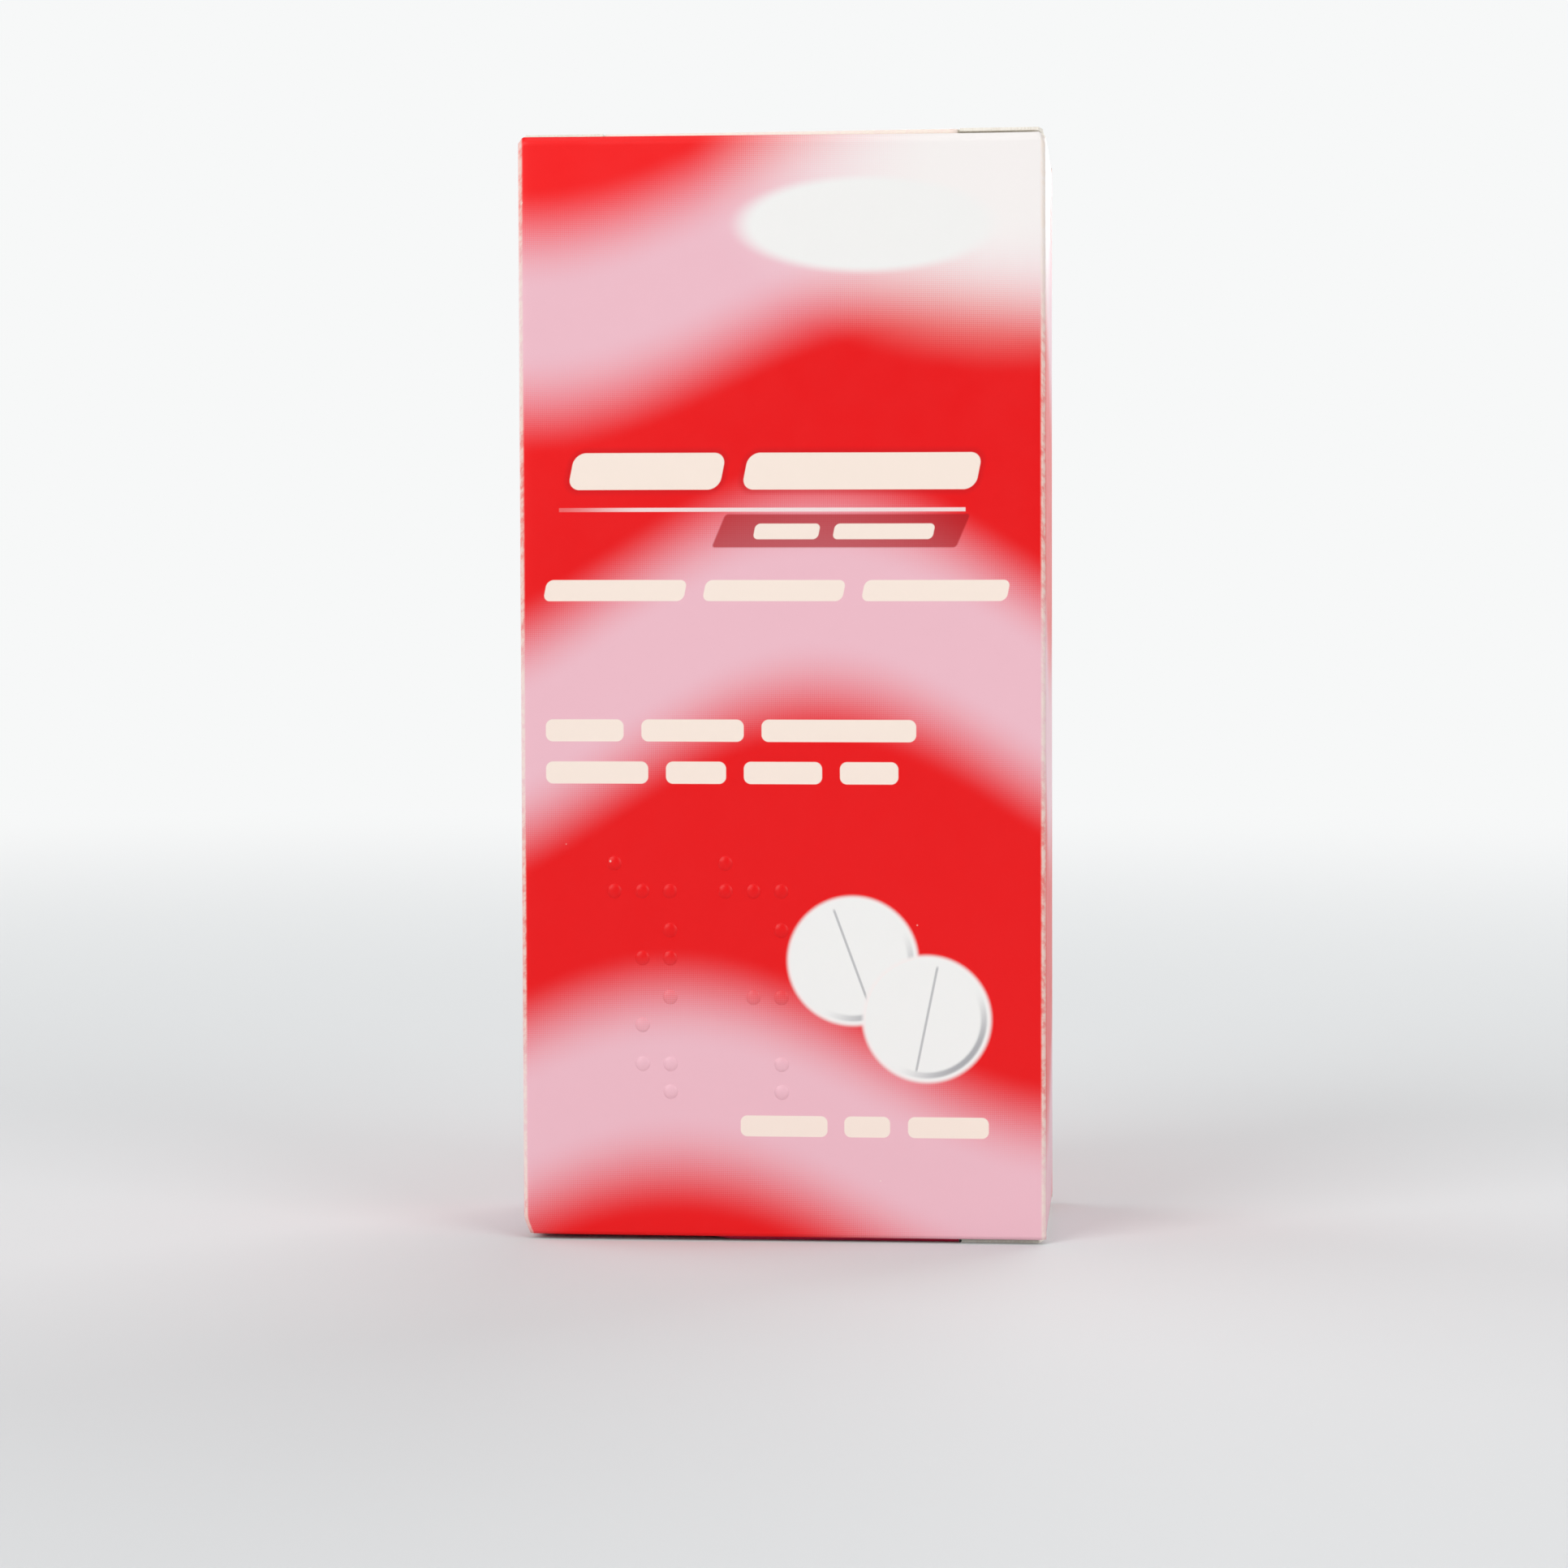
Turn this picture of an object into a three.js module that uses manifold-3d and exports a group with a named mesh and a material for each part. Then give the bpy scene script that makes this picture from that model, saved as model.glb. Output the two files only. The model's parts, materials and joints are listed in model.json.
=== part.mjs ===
// Carton of tablets: a straight tuck-end box of folded board, with four blister strips and a leaflet.
// Millimetres, +Z up. The front panel faces -Y, and the origin is the middle of the base.
// The strips set the inside of the carton, and the board is folded round them.

import * as THREE from "three";
import { mergeVertices } from "three/addons/utils/BufferGeometryUtils.js";
import Module from "manifold-3d";

const wasm = await Module();
wasm.setup();

// Tablets: round, domed on both faces, with a score across the face towards the pocket
const TABLET_DIAMETER = 12.7;
const TABLET_THICKNESS = 4.2;
const TABLET_BAND = 2.4; // straight side between the two domes
const SCORE_WIDTH = 0.9;
const SCORE_DEPTH = 0.6;
const TABLET_SEGMENTS = 12;

// Blister strips: a formed clear film, sealed on its open side by a foil
const STRIPS = 4;
const COLUMNS = 2;
const ROWS = 4;
const FILM = 0.25;
const FOIL = 0.1;
const SEAL_GAP = 0.05;
const POCKET_SIDE_ROOM = 0.65; // round the tablet, at the mouth of the pocket
const POCKET_TAPER = 0.4; // how much the pocket's radius shrinks towards its roof
const POCKET_ROOF_ROOM = 0.15;
const POCKET_SHOULDER = 0.8;
const POCKET_SEGMENTS = 12;
const LAND_ACROSS = 6;
const LAND_ALONG = 7.5;
const MARGIN_ACROSS = 3.5;
const MARGIN_ALONG = 5.25;
const STRIP_CORNER = 3;
const STRIP_GAP = 0.2;

// Leaflet: thin paper folded to and fro, standing behind the strips
const LEAFLET_LAYERS = 6;
const PAPER = 0.12;
const LAYER_PITCH = 0.24;
const LEAFLET_SHORTER = 5; // than a strip is long
const LEAFLET_NARROWER = 1; // than a strip is wide

// Carton board and the room that it leaves round its contents
const BOARD = 0.45;
const FOLD_RADIUS = 0.6;
const SIDE_ROOM = 2.05;
const HEAD_ROOM = 5.8;
const BACK_ROOM = 0.3;
const FRONT_ROOM = 0.9; // between the front strip and the tip of a tuck flap
const REST_GAP = 0.2;

// Closures
const EDGE_DROP = 0.3; // the front panel's cut edges stop this far short of the folds
const LID_INSET = 0.3;
const CREASE_GAP = 0.05;
const TUCK_LENGTH = 12;
const TUCK_INSET = 0.6;
const TUCK_CORNER = 5;
const TUCK_SETBACK = 0.45; // from the front panel to the lid's front fold
const TUCK_LEAN = THREE.MathUtils.degToRad(6);
const DUST_FLAP_LENGTH = 17;
const DUST_FLAP_GAP = 0.1; // under the lid
const DUST_FLAP_SETBACK = 0.9; // behind the tuck flap's crease
const DUST_FLAP_BEVEL = 4;
const GLUE_FLAP_WIDTH = 11;
const GLUE_FLAP_BEVEL = 5;

const FOLD_SEGMENTS = 3;
const BEYOND = 1; // how far a cutting tool runs past what it cuts
const MERGE_DISTANCE = 1e-4;

// Sizes that follow
const POCKET_RADIUS = TABLET_DIAMETER / 2 + POCKET_SIDE_ROOM;
const POCKET_DEPTH = TABLET_THICKNESS + 2 * POCKET_ROOF_ROOM;
const PITCH_ACROSS = 2 * (POCKET_RADIUS + FILM) + LAND_ACROSS;
const PITCH_ALONG = 2 * (POCKET_RADIUS + FILM) + LAND_ALONG;
const STRIP_WIDTH = COLUMNS * PITCH_ACROSS - LAND_ACROSS + 2 * MARGIN_ACROSS;
const STRIP_LENGTH = ROWS * PITCH_ALONG - LAND_ALONG + 2 * MARGIN_ALONG;
const STRIP_THICKNESS = FOIL + SEAL_GAP + POCKET_DEPTH + FILM;
const STACK = STRIPS * (STRIP_THICKNESS + STRIP_GAP);
const LEAFLET_THICKNESS = (LEAFLET_LAYERS - 1) * LAYER_PITCH + PAPER;
const TUCK_TIP_ROOM = TUCK_SETBACK + BOARD + TUCK_LENGTH * Math.sin(TUCK_LEAN) + FRONT_ROOM;
const FLOOR = 2 * BOARD + DUST_FLAP_GAP + REST_GAP; // where the contents stand
const WIDTH = STRIP_WIDTH + 2 * SIDE_ROOM + 2 * BOARD;
const DEPTH = 2 * BOARD + BACK_ROOM + LEAFLET_THICKNESS + STACK + TUCK_TIP_ROOM;
const HEIGHT = FLOOR + STRIP_LENGTH + HEAD_ROOM + FLOOR - REST_GAP;
const BACK = DEPTH / 2;
const LID_REACH = DEPTH - BOARD - TUCK_SETBACK - BOARD; // from the hinge to the tuck flap's crease

// Materials
const material = (color, roughness, extra = {}) =>
  new THREE.MeshStandardMaterial({ color, roughness, metalness: 0, ...extra });
const printedBoard = material(0xe91218, 0.4);
const clearFilm = material(0xe8eef2, 0.15, { transparent: true, opacity: 0.35 });
const foilMetal = material(0xc9ccd0, 0.35, { metalness: 0.9 });
const tabletWhite = material(0xf4f2ec, 0.8);
const paperWhite = material(0xf6f5f1, 0.85);

// A closed three.js geometry as a solid that can be joined and cut
function solidOf(geometry) {
  const bare = new THREE.BufferGeometry();
  const loose = geometry.index ? geometry.toNonIndexed() : geometry;
  bare.setAttribute("position", loose.getAttribute("position"));
  const merged = mergeVertices(bare, MERGE_DISTANCE);
  return new wasm.Manifold(
    new wasm.Mesh({
      numProp: 3,
      vertProperties: Float32Array.from(merged.getAttribute("position").array),
      triVerts: Uint32Array.from(merged.index.array),
    }),
  );
}

function meshOf(name, solid, look) {
  const { vertProperties, triVerts } = solid.getMesh();
  const indexed = new THREE.BufferGeometry();
  indexed.setAttribute("position", new THREE.BufferAttribute(vertProperties, 3));
  indexed.setIndex(new THREE.BufferAttribute(triVerts, 1));
  const geometry = indexed.toNonIndexed();
  geometry.computeVertexNormals();
  const mesh = new THREE.Mesh(geometry, look);
  mesh.name = name;
  return mesh;
}

const outline = (points) => new THREE.Shape(points.map(([u, v]) => new THREE.Vector2(u, v)));

function roundedRectangle(width, height, radius) {
  const x = width / 2;
  const y = height / 2;
  const shape = new THREE.Shape();
  shape.moveTo(-x + radius, -y);
  shape.lineTo(x - radius, -y);
  shape.absarc(x - radius, -y + radius, radius, -Math.PI / 2, 0);
  shape.lineTo(x, y - radius);
  shape.absarc(x - radius, y - radius, radius, 0, Math.PI / 2);
  shape.lineTo(-x + radius, y);
  shape.absarc(-x + radius, y - radius, radius, Math.PI / 2, Math.PI);
  shape.lineTo(-x, -y + radius);
  shape.absarc(-x + radius, -y + radius, radius, Math.PI, 1.5 * Math.PI);
  return shape;
}

// Prisms of a flat shape: drawn in YZ and run along X, drawn in XZ and run along Y, or run along Z
function prism(shape, length, segments = FOLD_SEGMENTS) {
  return new THREE.ExtrudeGeometry(shape, {
    depth: length,
    bevelEnabled: false,
    curveSegments: segments,
  });
}

function prismX(points, halfWidth) {
  const turn = new THREE.Matrix4().makeBasis(
    new THREE.Vector3(0, 1, 0),
    new THREE.Vector3(0, 0, 1),
    new THREE.Vector3(1, 0, 0),
  );
  const geometry = prism(outline(points), 2 * halfWidth).applyMatrix4(turn);
  return solidOf(geometry.translate(-halfWidth, 0, 0));
}

function prismY(shape, lowY, highY) {
  const turn = new THREE.Matrix4().makeBasis(
    new THREE.Vector3(1, 0, 0),
    new THREE.Vector3(0, 0, 1),
    new THREE.Vector3(0, -1, 0),
  );
  const geometry = prism(shape, highY - lowY).applyMatrix4(turn);
  return solidOf(geometry.translate(0, highY, 0));
}

function prismZ(shape, lowZ, highZ) {
  return solidOf(prism(shape, highZ - lowZ).translate(0, 0, lowZ));
}

function block([lowX, lowY, lowZ], [highX, highY, highZ]) {
  const geometry = new THREE.BoxGeometry(highX - lowX, highY - lowY, highZ - lowZ);
  return solidOf(
    geometry.translate((lowX + highX) / 2, (lowY + highY) / 2, (lowZ + highZ) / 2),
  );
}

// A height measured inwards from the carton's top or bottom
const level = (end, inwards) => (end === "top" ? HEIGHT - inwards : inwards);

// The closure's cut-outs at one end of the sleeve: the side panels end where their dust flaps fold
// in, the front panel is cut off short of the fold, and the back panel ends on the hinge's mitre
function closureCuts(end) {
  const span = (from, to) => [level(end, from), level(end, to)].sort((a, b) => a - b);
  const [sideLow, sideHigh] = span(BOARD + DUST_FLAP_GAP + FOLD_RADIUS, -BEYOND);
  const [frontLow, frontHigh] = span(EDGE_DROP, -BEYOND);
  const half = WIDTH / 2 + BEYOND;
  const sides = block([-half, -BACK + BOARD, sideLow], [half, BACK - BOARD, sideHigh]);
  const front = block([-half, -BACK - BEYOND, frontLow], [half, -BACK + BOARD, frontHigh]);
  const inner = BACK - BOARD - BEYOND;
  const mitre = prismX(
    [
      [inner, level(end, BOARD + BEYOND + CREASE_GAP)],
      [BACK + BEYOND, level(end, CREASE_GAP - BEYOND)],
      [inner, level(end, CREASE_GAP - BEYOND)],
    ],
    half,
  );
  return sides.add(front).add(mitre);
}

// A dust flap with the fold that joins it to its side panel
function dustFlap(side, end) {
  const top = BOARD + DUST_FLAP_GAP;
  const shape = new THREE.Shape();
  const wall = (inwards) => side * (WIDTH / 2 - inwards);
  const steps = Array.from({ length: FOLD_SEGMENTS + 1 }, (_, i) => ((i / FOLD_SEGMENTS) * Math.PI) / 2);
  const arc = (radius) =>
    steps.map((a) => [
      wall(FOLD_RADIUS - radius * Math.cos(a)),
      level(end, top + FOLD_RADIUS - radius * Math.sin(a)),
    ]);
  const foot = level(end, top + FOLD_RADIUS + BEYOND);
  const points = [
    [wall(0), foot],
    ...arc(FOLD_RADIUS),
    [wall(DUST_FLAP_LENGTH), level(end, top)],
    [wall(DUST_FLAP_LENGTH), level(end, top + BOARD)],
    ...arc(FOLD_RADIUS - BOARD).reverse(),
    [wall(BOARD), foot],
  ];
  shape.setFromPoints(points.map(([u, v]) => new THREE.Vector2(u, v)));

  const back = BACK - BOARD - BACK_ROOM;
  const front = -BACK + BOARD + TUCK_SETBACK + BOARD + DUST_FLAP_SETBACK;
  const root = -BACK + BOARD + BACK_ROOM;
  const tuckSide = wall(BOARD + TUCK_INSET / 2);
  const plan = outline([
    [wall(-BEYOND), root],
    [tuckSide, root],
    [tuckSide, front],
    [wall(DUST_FLAP_LENGTH - DUST_FLAP_BEVEL), front],
    [wall(DUST_FLAP_LENGTH), front + DUST_FLAP_BEVEL],
    [wall(DUST_FLAP_LENGTH), back - DUST_FLAP_BEVEL],
    [wall(DUST_FLAP_LENGTH - DUST_FLAP_BEVEL), back],
    [wall(-BEYOND), back],
  ]);
  const trim = prismZ(plan, -BEYOND, HEIGHT + BEYOND);
  return prismY(shape, -BACK, BACK).intersect(trim);
}

// The glue flap lies flat inside the left panel, stuck down over its whole face
function glueFlap() {
  const low = FLOOR + FOLD_RADIUS;
  const high = HEIGHT - low;
  const root = BACK - BOARD / 2;
  const tip = root - GLUE_FLAP_WIDTH;
  const inner = -WIDTH / 2 + 2 * BOARD;
  const blank = block([-WIDTH / 2 + BOARD / 2, tip, low], [inner, root, high]);
  const corner = (end) => {
    const at = end === "top" ? high : low;
    const away = end === "top" ? -GLUE_FLAP_BEVEL : GLUE_FLAP_BEVEL;
    return prismX(
      [
        [tip - BEYOND, at + away + (away / GLUE_FLAP_BEVEL) * BEYOND],
        [tip + GLUE_FLAP_BEVEL + BEYOND, at - (away / GLUE_FLAP_BEVEL) * BEYOND],
        [tip - BEYOND, at - (away / GLUE_FLAP_BEVEL) * BEYOND],
      ],
      WIDTH,
    );
  };
  return blank.subtract(corner("top")).subtract(corner("bottom"));
}

function cartonSleeve() {
  const section = roundedRectangle(WIDTH, DEPTH, FOLD_RADIUS);
  section.holes.push(
    roundedRectangle(WIDTH - 2 * BOARD, DEPTH - 2 * BOARD, FOLD_RADIUS - BOARD),
  );
  let sleeve = prismZ(section, 0, HEIGHT).add(glueFlap());
  for (const end of ["top", "bottom"]) {
    sleeve = sleeve.subtract(closureCuts(end));
    for (const side of [-1, 1]) sleeve = sleeve.add(dustFlap(side, end));
  }
  return meshOf("carton_sleeve", sleeve, printedBoard);
}

// A lid in its hinge's frame: it runs from the hinge along -Y, and its outer face is at Z = 0.
// Its back edge is mitred to the back panel, and its front edge turns half of the tuck flap's fold.
function lid(name) {
  const half = (Math.PI / 2 + TUCK_LEAN) / 2;
  const turn = Array.from({ length: FOLD_SEGMENTS + 1 }, (_, i) => (i / FOLD_SEGMENTS) * half);
  const crease = -LID_REACH + CREASE_GAP;
  const profile = [
    [-2 * CREASE_GAP, 0],
    ...turn.map((a) => [crease - BOARD * Math.sin(a), BOARD * (Math.cos(a) - 1)]),
    [crease, -BOARD],
    [-BOARD - 2 * CREASE_GAP, -BOARD],
  ];
  return meshOf(name, prismX(profile, WIDTH / 2 - LID_INSET), printedBoard);
}

// A tuck flap in its crease's frame: it hangs along -Z with its inner face at Y = 0
function tuckFlap(name) {
  const half = (Math.PI / 2 + TUCK_LEAN) / 2;
  const turn = Array.from({ length: FOLD_SEGMENTS + 1 }, (_, i) => (i / FOLD_SEGMENTS) * half);
  const fold = turn
    .reverse()
    .map((a) => [-BOARD * Math.cos(a), BOARD * Math.sin(a) - CREASE_GAP]);
  const profile = [[0, -CREASE_GAP], ...fold, [-BOARD, -TUCK_LENGTH], [0, -TUCK_LENGTH]];
  const across = WIDTH / 2 - BOARD - TUCK_INSET;
  const plan = new THREE.Shape();
  plan.moveTo(-across, BEYOND);
  plan.lineTo(-across, -TUCK_LENGTH + TUCK_CORNER);
  plan.absarc(-across + TUCK_CORNER, -TUCK_LENGTH + TUCK_CORNER, TUCK_CORNER, Math.PI, 1.5 * Math.PI);
  plan.absarc(across - TUCK_CORNER, -TUCK_LENGTH + TUCK_CORNER, TUCK_CORNER, -Math.PI / 2, 0);
  plan.lineTo(across, BEYOND);
  const cut = prismY(plan, -BOARD - BEYOND, BEYOND);
  return meshOf(name, prismX(profile, across).intersect(cut), printedBoard);
}

// One closure in its hinge's frame, as it lies shut
function closure(end) {
  const group = new THREE.Group();
  const crease = new THREE.Group();
  crease.position.set(0, -LID_REACH, -BOARD);
  crease.rotation.x = TUCK_LEAN;
  crease.add(tuckFlap(end + "_tuck_flap"));
  group.add(lid(end + "_lid"), crease);
  group.position.set(0, BACK, level(end, 0));
  if (end === "bottom") group.rotation.y = Math.PI;
  return group;
}

// A turned solid about Z from its radii and heights, first point and last on the axis
function turned(points, segments) {
  const profile = points.map(([r, z]) => new THREE.Vector2(r, z));
  return solidOf(new THREE.LatheGeometry(profile, segments).rotateX(Math.PI / 2));
}

// Where the pockets are on a strip
const pocketPlaces = Array.from({ length: COLUMNS * ROWS }, (_, i) => [
  ((i % COLUMNS) - (COLUMNS - 1) / 2) * PITCH_ACROSS,
  (Math.floor(i / COLUMNS) - (ROWS - 1) / 2) * PITCH_ALONG,
]);

// A pocket's form, grown by the film's thickness for its outside
function pocket(grown, bottom) {
  const radius = POCKET_RADIUS + grown;
  const roof = FOIL + SEAL_GAP + POCKET_DEPTH + grown;
  const shoulder = radius - POCKET_TAPER;
  return turned(
    [
      [0, bottom],
      [radius, bottom],
      [shoulder, roof - POCKET_SHOULDER],
      [shoulder - POCKET_SHOULDER, roof],
      [0, roof],
    ],
    POCKET_SEGMENTS,
  );
}

function blisterFilm(name) {
  const sheetLow = FOIL + SEAL_GAP;
  const sheet = roundedRectangle(STRIP_WIDTH, STRIP_LENGTH, STRIP_CORNER);
  let film = prismZ(sheet, sheetLow, sheetLow + FILM);
  const outside = pocket(FILM, sheetLow);
  const inside = pocket(0, sheetLow - BEYOND);
  for (const [x, y] of pocketPlaces) film = film.add(outside.translate([x, y, 0]));
  for (const [x, y] of pocketPlaces) film = film.subtract(inside.translate([x, y, 0]));
  return meshOf(name, film, clearFilm);
}

function blisterFoil(name) {
  const sheet = roundedRectangle(STRIP_WIDTH, STRIP_LENGTH, STRIP_CORNER);
  return meshOf(name, prismZ(sheet, 0, FOIL), foilMetal);
}

function tabletSolid() {
  const radius = TABLET_DIAMETER / 2;
  const half = TABLET_THICKNESS / 2;
  const band = TABLET_BAND / 2;
  const ringRadius = radius * 0.7;
  const ringHeight = band + (half - band) * 0.7;
  const body = turned(
    [
      [0, -half],
      [ringRadius, -ringHeight],
      [radius, -band],
      [radius, band],
      [ringRadius, ringHeight],
      [0, half],
    ],
    TABLET_SEGMENTS,
  );
  const groove = outline([
    [-SCORE_WIDTH, half - SCORE_DEPTH + SCORE_WIDTH],
    [0, half - SCORE_DEPTH],
    [SCORE_WIDTH, half - SCORE_DEPTH + SCORE_WIDTH],
  ]);
  return body.subtract(prismY(groove, -radius - BEYOND, radius + BEYOND));
}

// A strip lies with its foil down and its pockets up, before it is stood in the carton
function blisterStrip(number) {
  const group = new THREE.Group();
  group.add(blisterFoil("blister_foil_" + number), blisterFilm("blister_film_" + number));
  const tablet = tabletSolid();
  pocketPlaces.forEach(([x, y], i) => {
    const mesh = meshOf("tablet_" + number + "_" + (i + 1), tablet, tabletWhite);
    mesh.position.set(x, y, FOIL + SEAL_GAP + POCKET_ROOF_ROOM + TABLET_THICKNESS / 2);
    group.add(mesh);
  });
  group.rotation.x = Math.PI / 2;
  return group;
}

// The leaflet's section: one strip of paper that runs to and fro, with a round turn at each fold
function leaflet() {
  const turnRadius = LAYER_PITCH / 2;
  const reach = (STRIP_WIDTH - LEAFLET_NARROWER) / 2 - turnRadius - PAPER / 2;
  const left = [];
  const right = [];
  const put = (x, y, nx, ny) => {
    left.push([x + (nx * PAPER) / 2, y + (ny * PAPER) / 2]);
    right.unshift([x - (nx * PAPER) / 2, y - (ny * PAPER) / 2]);
  };
  for (let layer = 0; layer < LEAFLET_LAYERS; layer++) {
    const way = layer % 2 ? -1 : 1;
    const y = layer * LAYER_PITCH;
    if (layer === 0) put(-way * reach, y, 0, way);
    if (layer === LEAFLET_LAYERS - 1) {
      put(way * reach, y, 0, way);
      break;
    }
    for (let i = 0; i <= FOLD_SEGMENTS + 1; i++) {
      const a = (i / (FOLD_SEGMENTS + 1)) * Math.PI;
      const nx = -Math.sin(a);
      const ny = way * Math.cos(a);
      put(way * (reach + turnRadius * Math.sin(a)), y + turnRadius * (1 - Math.cos(a)), nx, ny);
    }
  }
  const tall = STRIP_LENGTH - LEAFLET_SHORTER;
  const mesh = meshOf("leaflet", prismZ(outline([...left, ...right]), 0, tall), paperWhite);
  mesh.position.set(0, BACK - BOARD - BACK_ROOM - LEAFLET_THICKNESS + PAPER / 2, FLOOR);
  return mesh;
}

const box = new THREE.Group();
box.add(cartonSleeve(), closure("top"), closure("bottom"), leaflet());
for (let i = 0; i < STRIPS; i++) {
  const strip = blisterStrip(i + 1);
  const behind = BACK_ROOM + LEAFLET_THICKNESS + i * (STRIP_THICKNESS + STRIP_GAP) + STRIP_GAP;
  strip.position.set(0, BACK - BOARD - behind, FLOOR + STRIP_LENGTH / 2);
  box.add(strip);
}

export default box;
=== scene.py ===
"""A box of tablets: a printed tuck-end carton with blister strips and a leaflet inside."""
import json
import math

import bmesh
import bpy
from mathutils import Matrix, Vector


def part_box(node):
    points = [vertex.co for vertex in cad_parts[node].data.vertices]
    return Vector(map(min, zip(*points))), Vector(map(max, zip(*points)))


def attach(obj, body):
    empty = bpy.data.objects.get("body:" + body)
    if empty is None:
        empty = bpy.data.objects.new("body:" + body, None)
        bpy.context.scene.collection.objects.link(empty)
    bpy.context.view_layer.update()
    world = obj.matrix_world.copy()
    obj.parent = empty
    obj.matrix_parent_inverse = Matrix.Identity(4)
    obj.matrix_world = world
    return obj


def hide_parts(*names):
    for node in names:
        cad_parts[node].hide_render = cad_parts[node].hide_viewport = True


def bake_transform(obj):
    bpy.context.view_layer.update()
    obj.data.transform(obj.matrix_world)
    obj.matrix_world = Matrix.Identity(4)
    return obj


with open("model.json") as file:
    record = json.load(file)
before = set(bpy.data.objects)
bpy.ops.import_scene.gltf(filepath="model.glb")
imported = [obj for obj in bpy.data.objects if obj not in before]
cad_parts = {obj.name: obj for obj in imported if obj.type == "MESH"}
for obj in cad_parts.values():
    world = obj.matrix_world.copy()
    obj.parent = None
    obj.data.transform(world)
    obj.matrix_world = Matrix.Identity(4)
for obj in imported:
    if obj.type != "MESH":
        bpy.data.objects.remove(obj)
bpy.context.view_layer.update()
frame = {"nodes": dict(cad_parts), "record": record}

# The view
# The carton is seen almost straight on from a little to its right, at about half its height, so that
# its right panel shows only as a sliver.
VIEW_AZIMUTH = math.radians(5.119)
VIEW_DISTANCE = 0.350
VIEW_HEIGHT = 0.0533
VIEW_YAW = math.radians(5.280)
VIEW_PITCH = math.radians(-2.089)
VIEW_ROLL = math.radians(-0.182)
VIEW_LENS = 86.92
SENSOR = 36.0

look = Vector((-math.sin(VIEW_YAW) * math.cos(VIEW_PITCH),
               math.cos(VIEW_YAW) * math.cos(VIEW_PITCH),
               math.sin(VIEW_PITCH)))
level = look.cross(Vector((0, 0, 1))).normalized()
upright = level.cross(look)
across = math.cos(VIEW_ROLL) * level + math.sin(VIEW_ROLL) * upright
upward = math.cos(VIEW_ROLL) * upright - math.sin(VIEW_ROLL) * level
camera_data = bpy.data.cameras.new("view")
camera_data.lens = VIEW_LENS
camera_data.sensor_width = SENSOR
camera_data.clip_start = 0.01
camera_data.clip_end = 20
camera = bpy.data.objects.new("view", camera_data)
turn = Matrix((across, upward, -look)).transposed().to_4x4()
stand = Vector((VIEW_DISTANCE * math.sin(VIEW_AZIMUTH),
                -VIEW_DISTANCE * math.cos(VIEW_AZIMUTH),
                VIEW_HEIGHT))
camera.matrix_world = Matrix.Translation(stand) @ turn
bpy.context.scene.collection.objects.link(camera)
bpy.context.scene.camera = camera
bpy.context.scene.view_settings.view_transform = "Standard"


# The studio
# A pale matt sweep runs from under the carton up behind it. A broad soft lamp hangs on each side in
# front, with weaker ones above and behind, so that the print shows evenly from every side and the
# floor holds a soft shadow.
def add_node(tree, kind, **settings):
    made = tree.nodes.new(kind)
    for name, value in settings.items():
        setattr(made, name, value)
    return made


def ink(red, green, blue):
    """A printed colour, from its values out of 255, as Blender mixes it."""
    def linear(value):
        value /= 255
        return value / 12.92 if value <= 0.04045 else ((value + 0.055) / 1.055) ** 2.4
    return (linear(red), linear(green), linear(blue), 1)


def new_material(name, roughness, base=(1, 1, 1, 1), metallic=0.0):
    """A material with its shader's plain sockets set; returns it with its tree and shader."""
    material = bpy.data.materials.new(name)
    material.use_nodes = True
    shader = material.node_tree.nodes["Principled BSDF"]
    shader.inputs["Roughness"].default_value = roughness
    shader.inputs["Base Color"].default_value = base
    shader.inputs["Metallic"].default_value = metallic
    return material, material.node_tree, shader


def calc(tree, operation, *values, clamp=False):
    """Mathematics on sockets and numbers."""
    made = add_node(tree, "ShaderNodeMath", operation=operation, use_clamp=clamp)
    for socket, value in zip(made.inputs, values):
        if isinstance(value, (int, float)):
            socket.default_value = value
        else:
            tree.links.new(value, socket)
    return made.outputs[0]


def ramp(tree, value, low, high, to_low=0.0, to_high=1.0):
    """A smooth change from to_low to to_high as value goes from low to high."""
    made = add_node(tree, "ShaderNodeMapRange", interpolation_type="SMOOTHSTEP")
    if low > high:
        low, high, to_low, to_high = high, low, to_high, to_low
    for name, number in zip(("From Min", "From Max", "To Min", "To Max"), (low, high, to_low, to_high)):
        made.inputs[name].default_value = number
    tree.links.new(value, made.inputs["Value"])
    return made.outputs[0]


def vector_sum(tree, operation, *values):
    made = add_node(tree, "ShaderNodeVectorMath", operation=operation)
    for socket, value in zip(made.inputs, values):
        if isinstance(value, tuple):
            socket.default_value = value
        else:
            tree.links.new(value, socket)
    return made.outputs["Value"] if operation == "LENGTH" else made.outputs["Vector"]


SWEEP_HALF_WIDTH = 3.0
SWEEP_FRONT = -2.5
SWEEP_BACK = 1.6
SWEEP_RADIUS = 0.8
SWEEP_TOP = 3.0
SWEEP_STEPS = 24
SWEEP_SHINE = 0.1
FADE_START = 0.12
FADE_END = 0.9
CARTON_MIDDLE = (0, 0, 0.05)
AIR_LIGHT = 0.3

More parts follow.
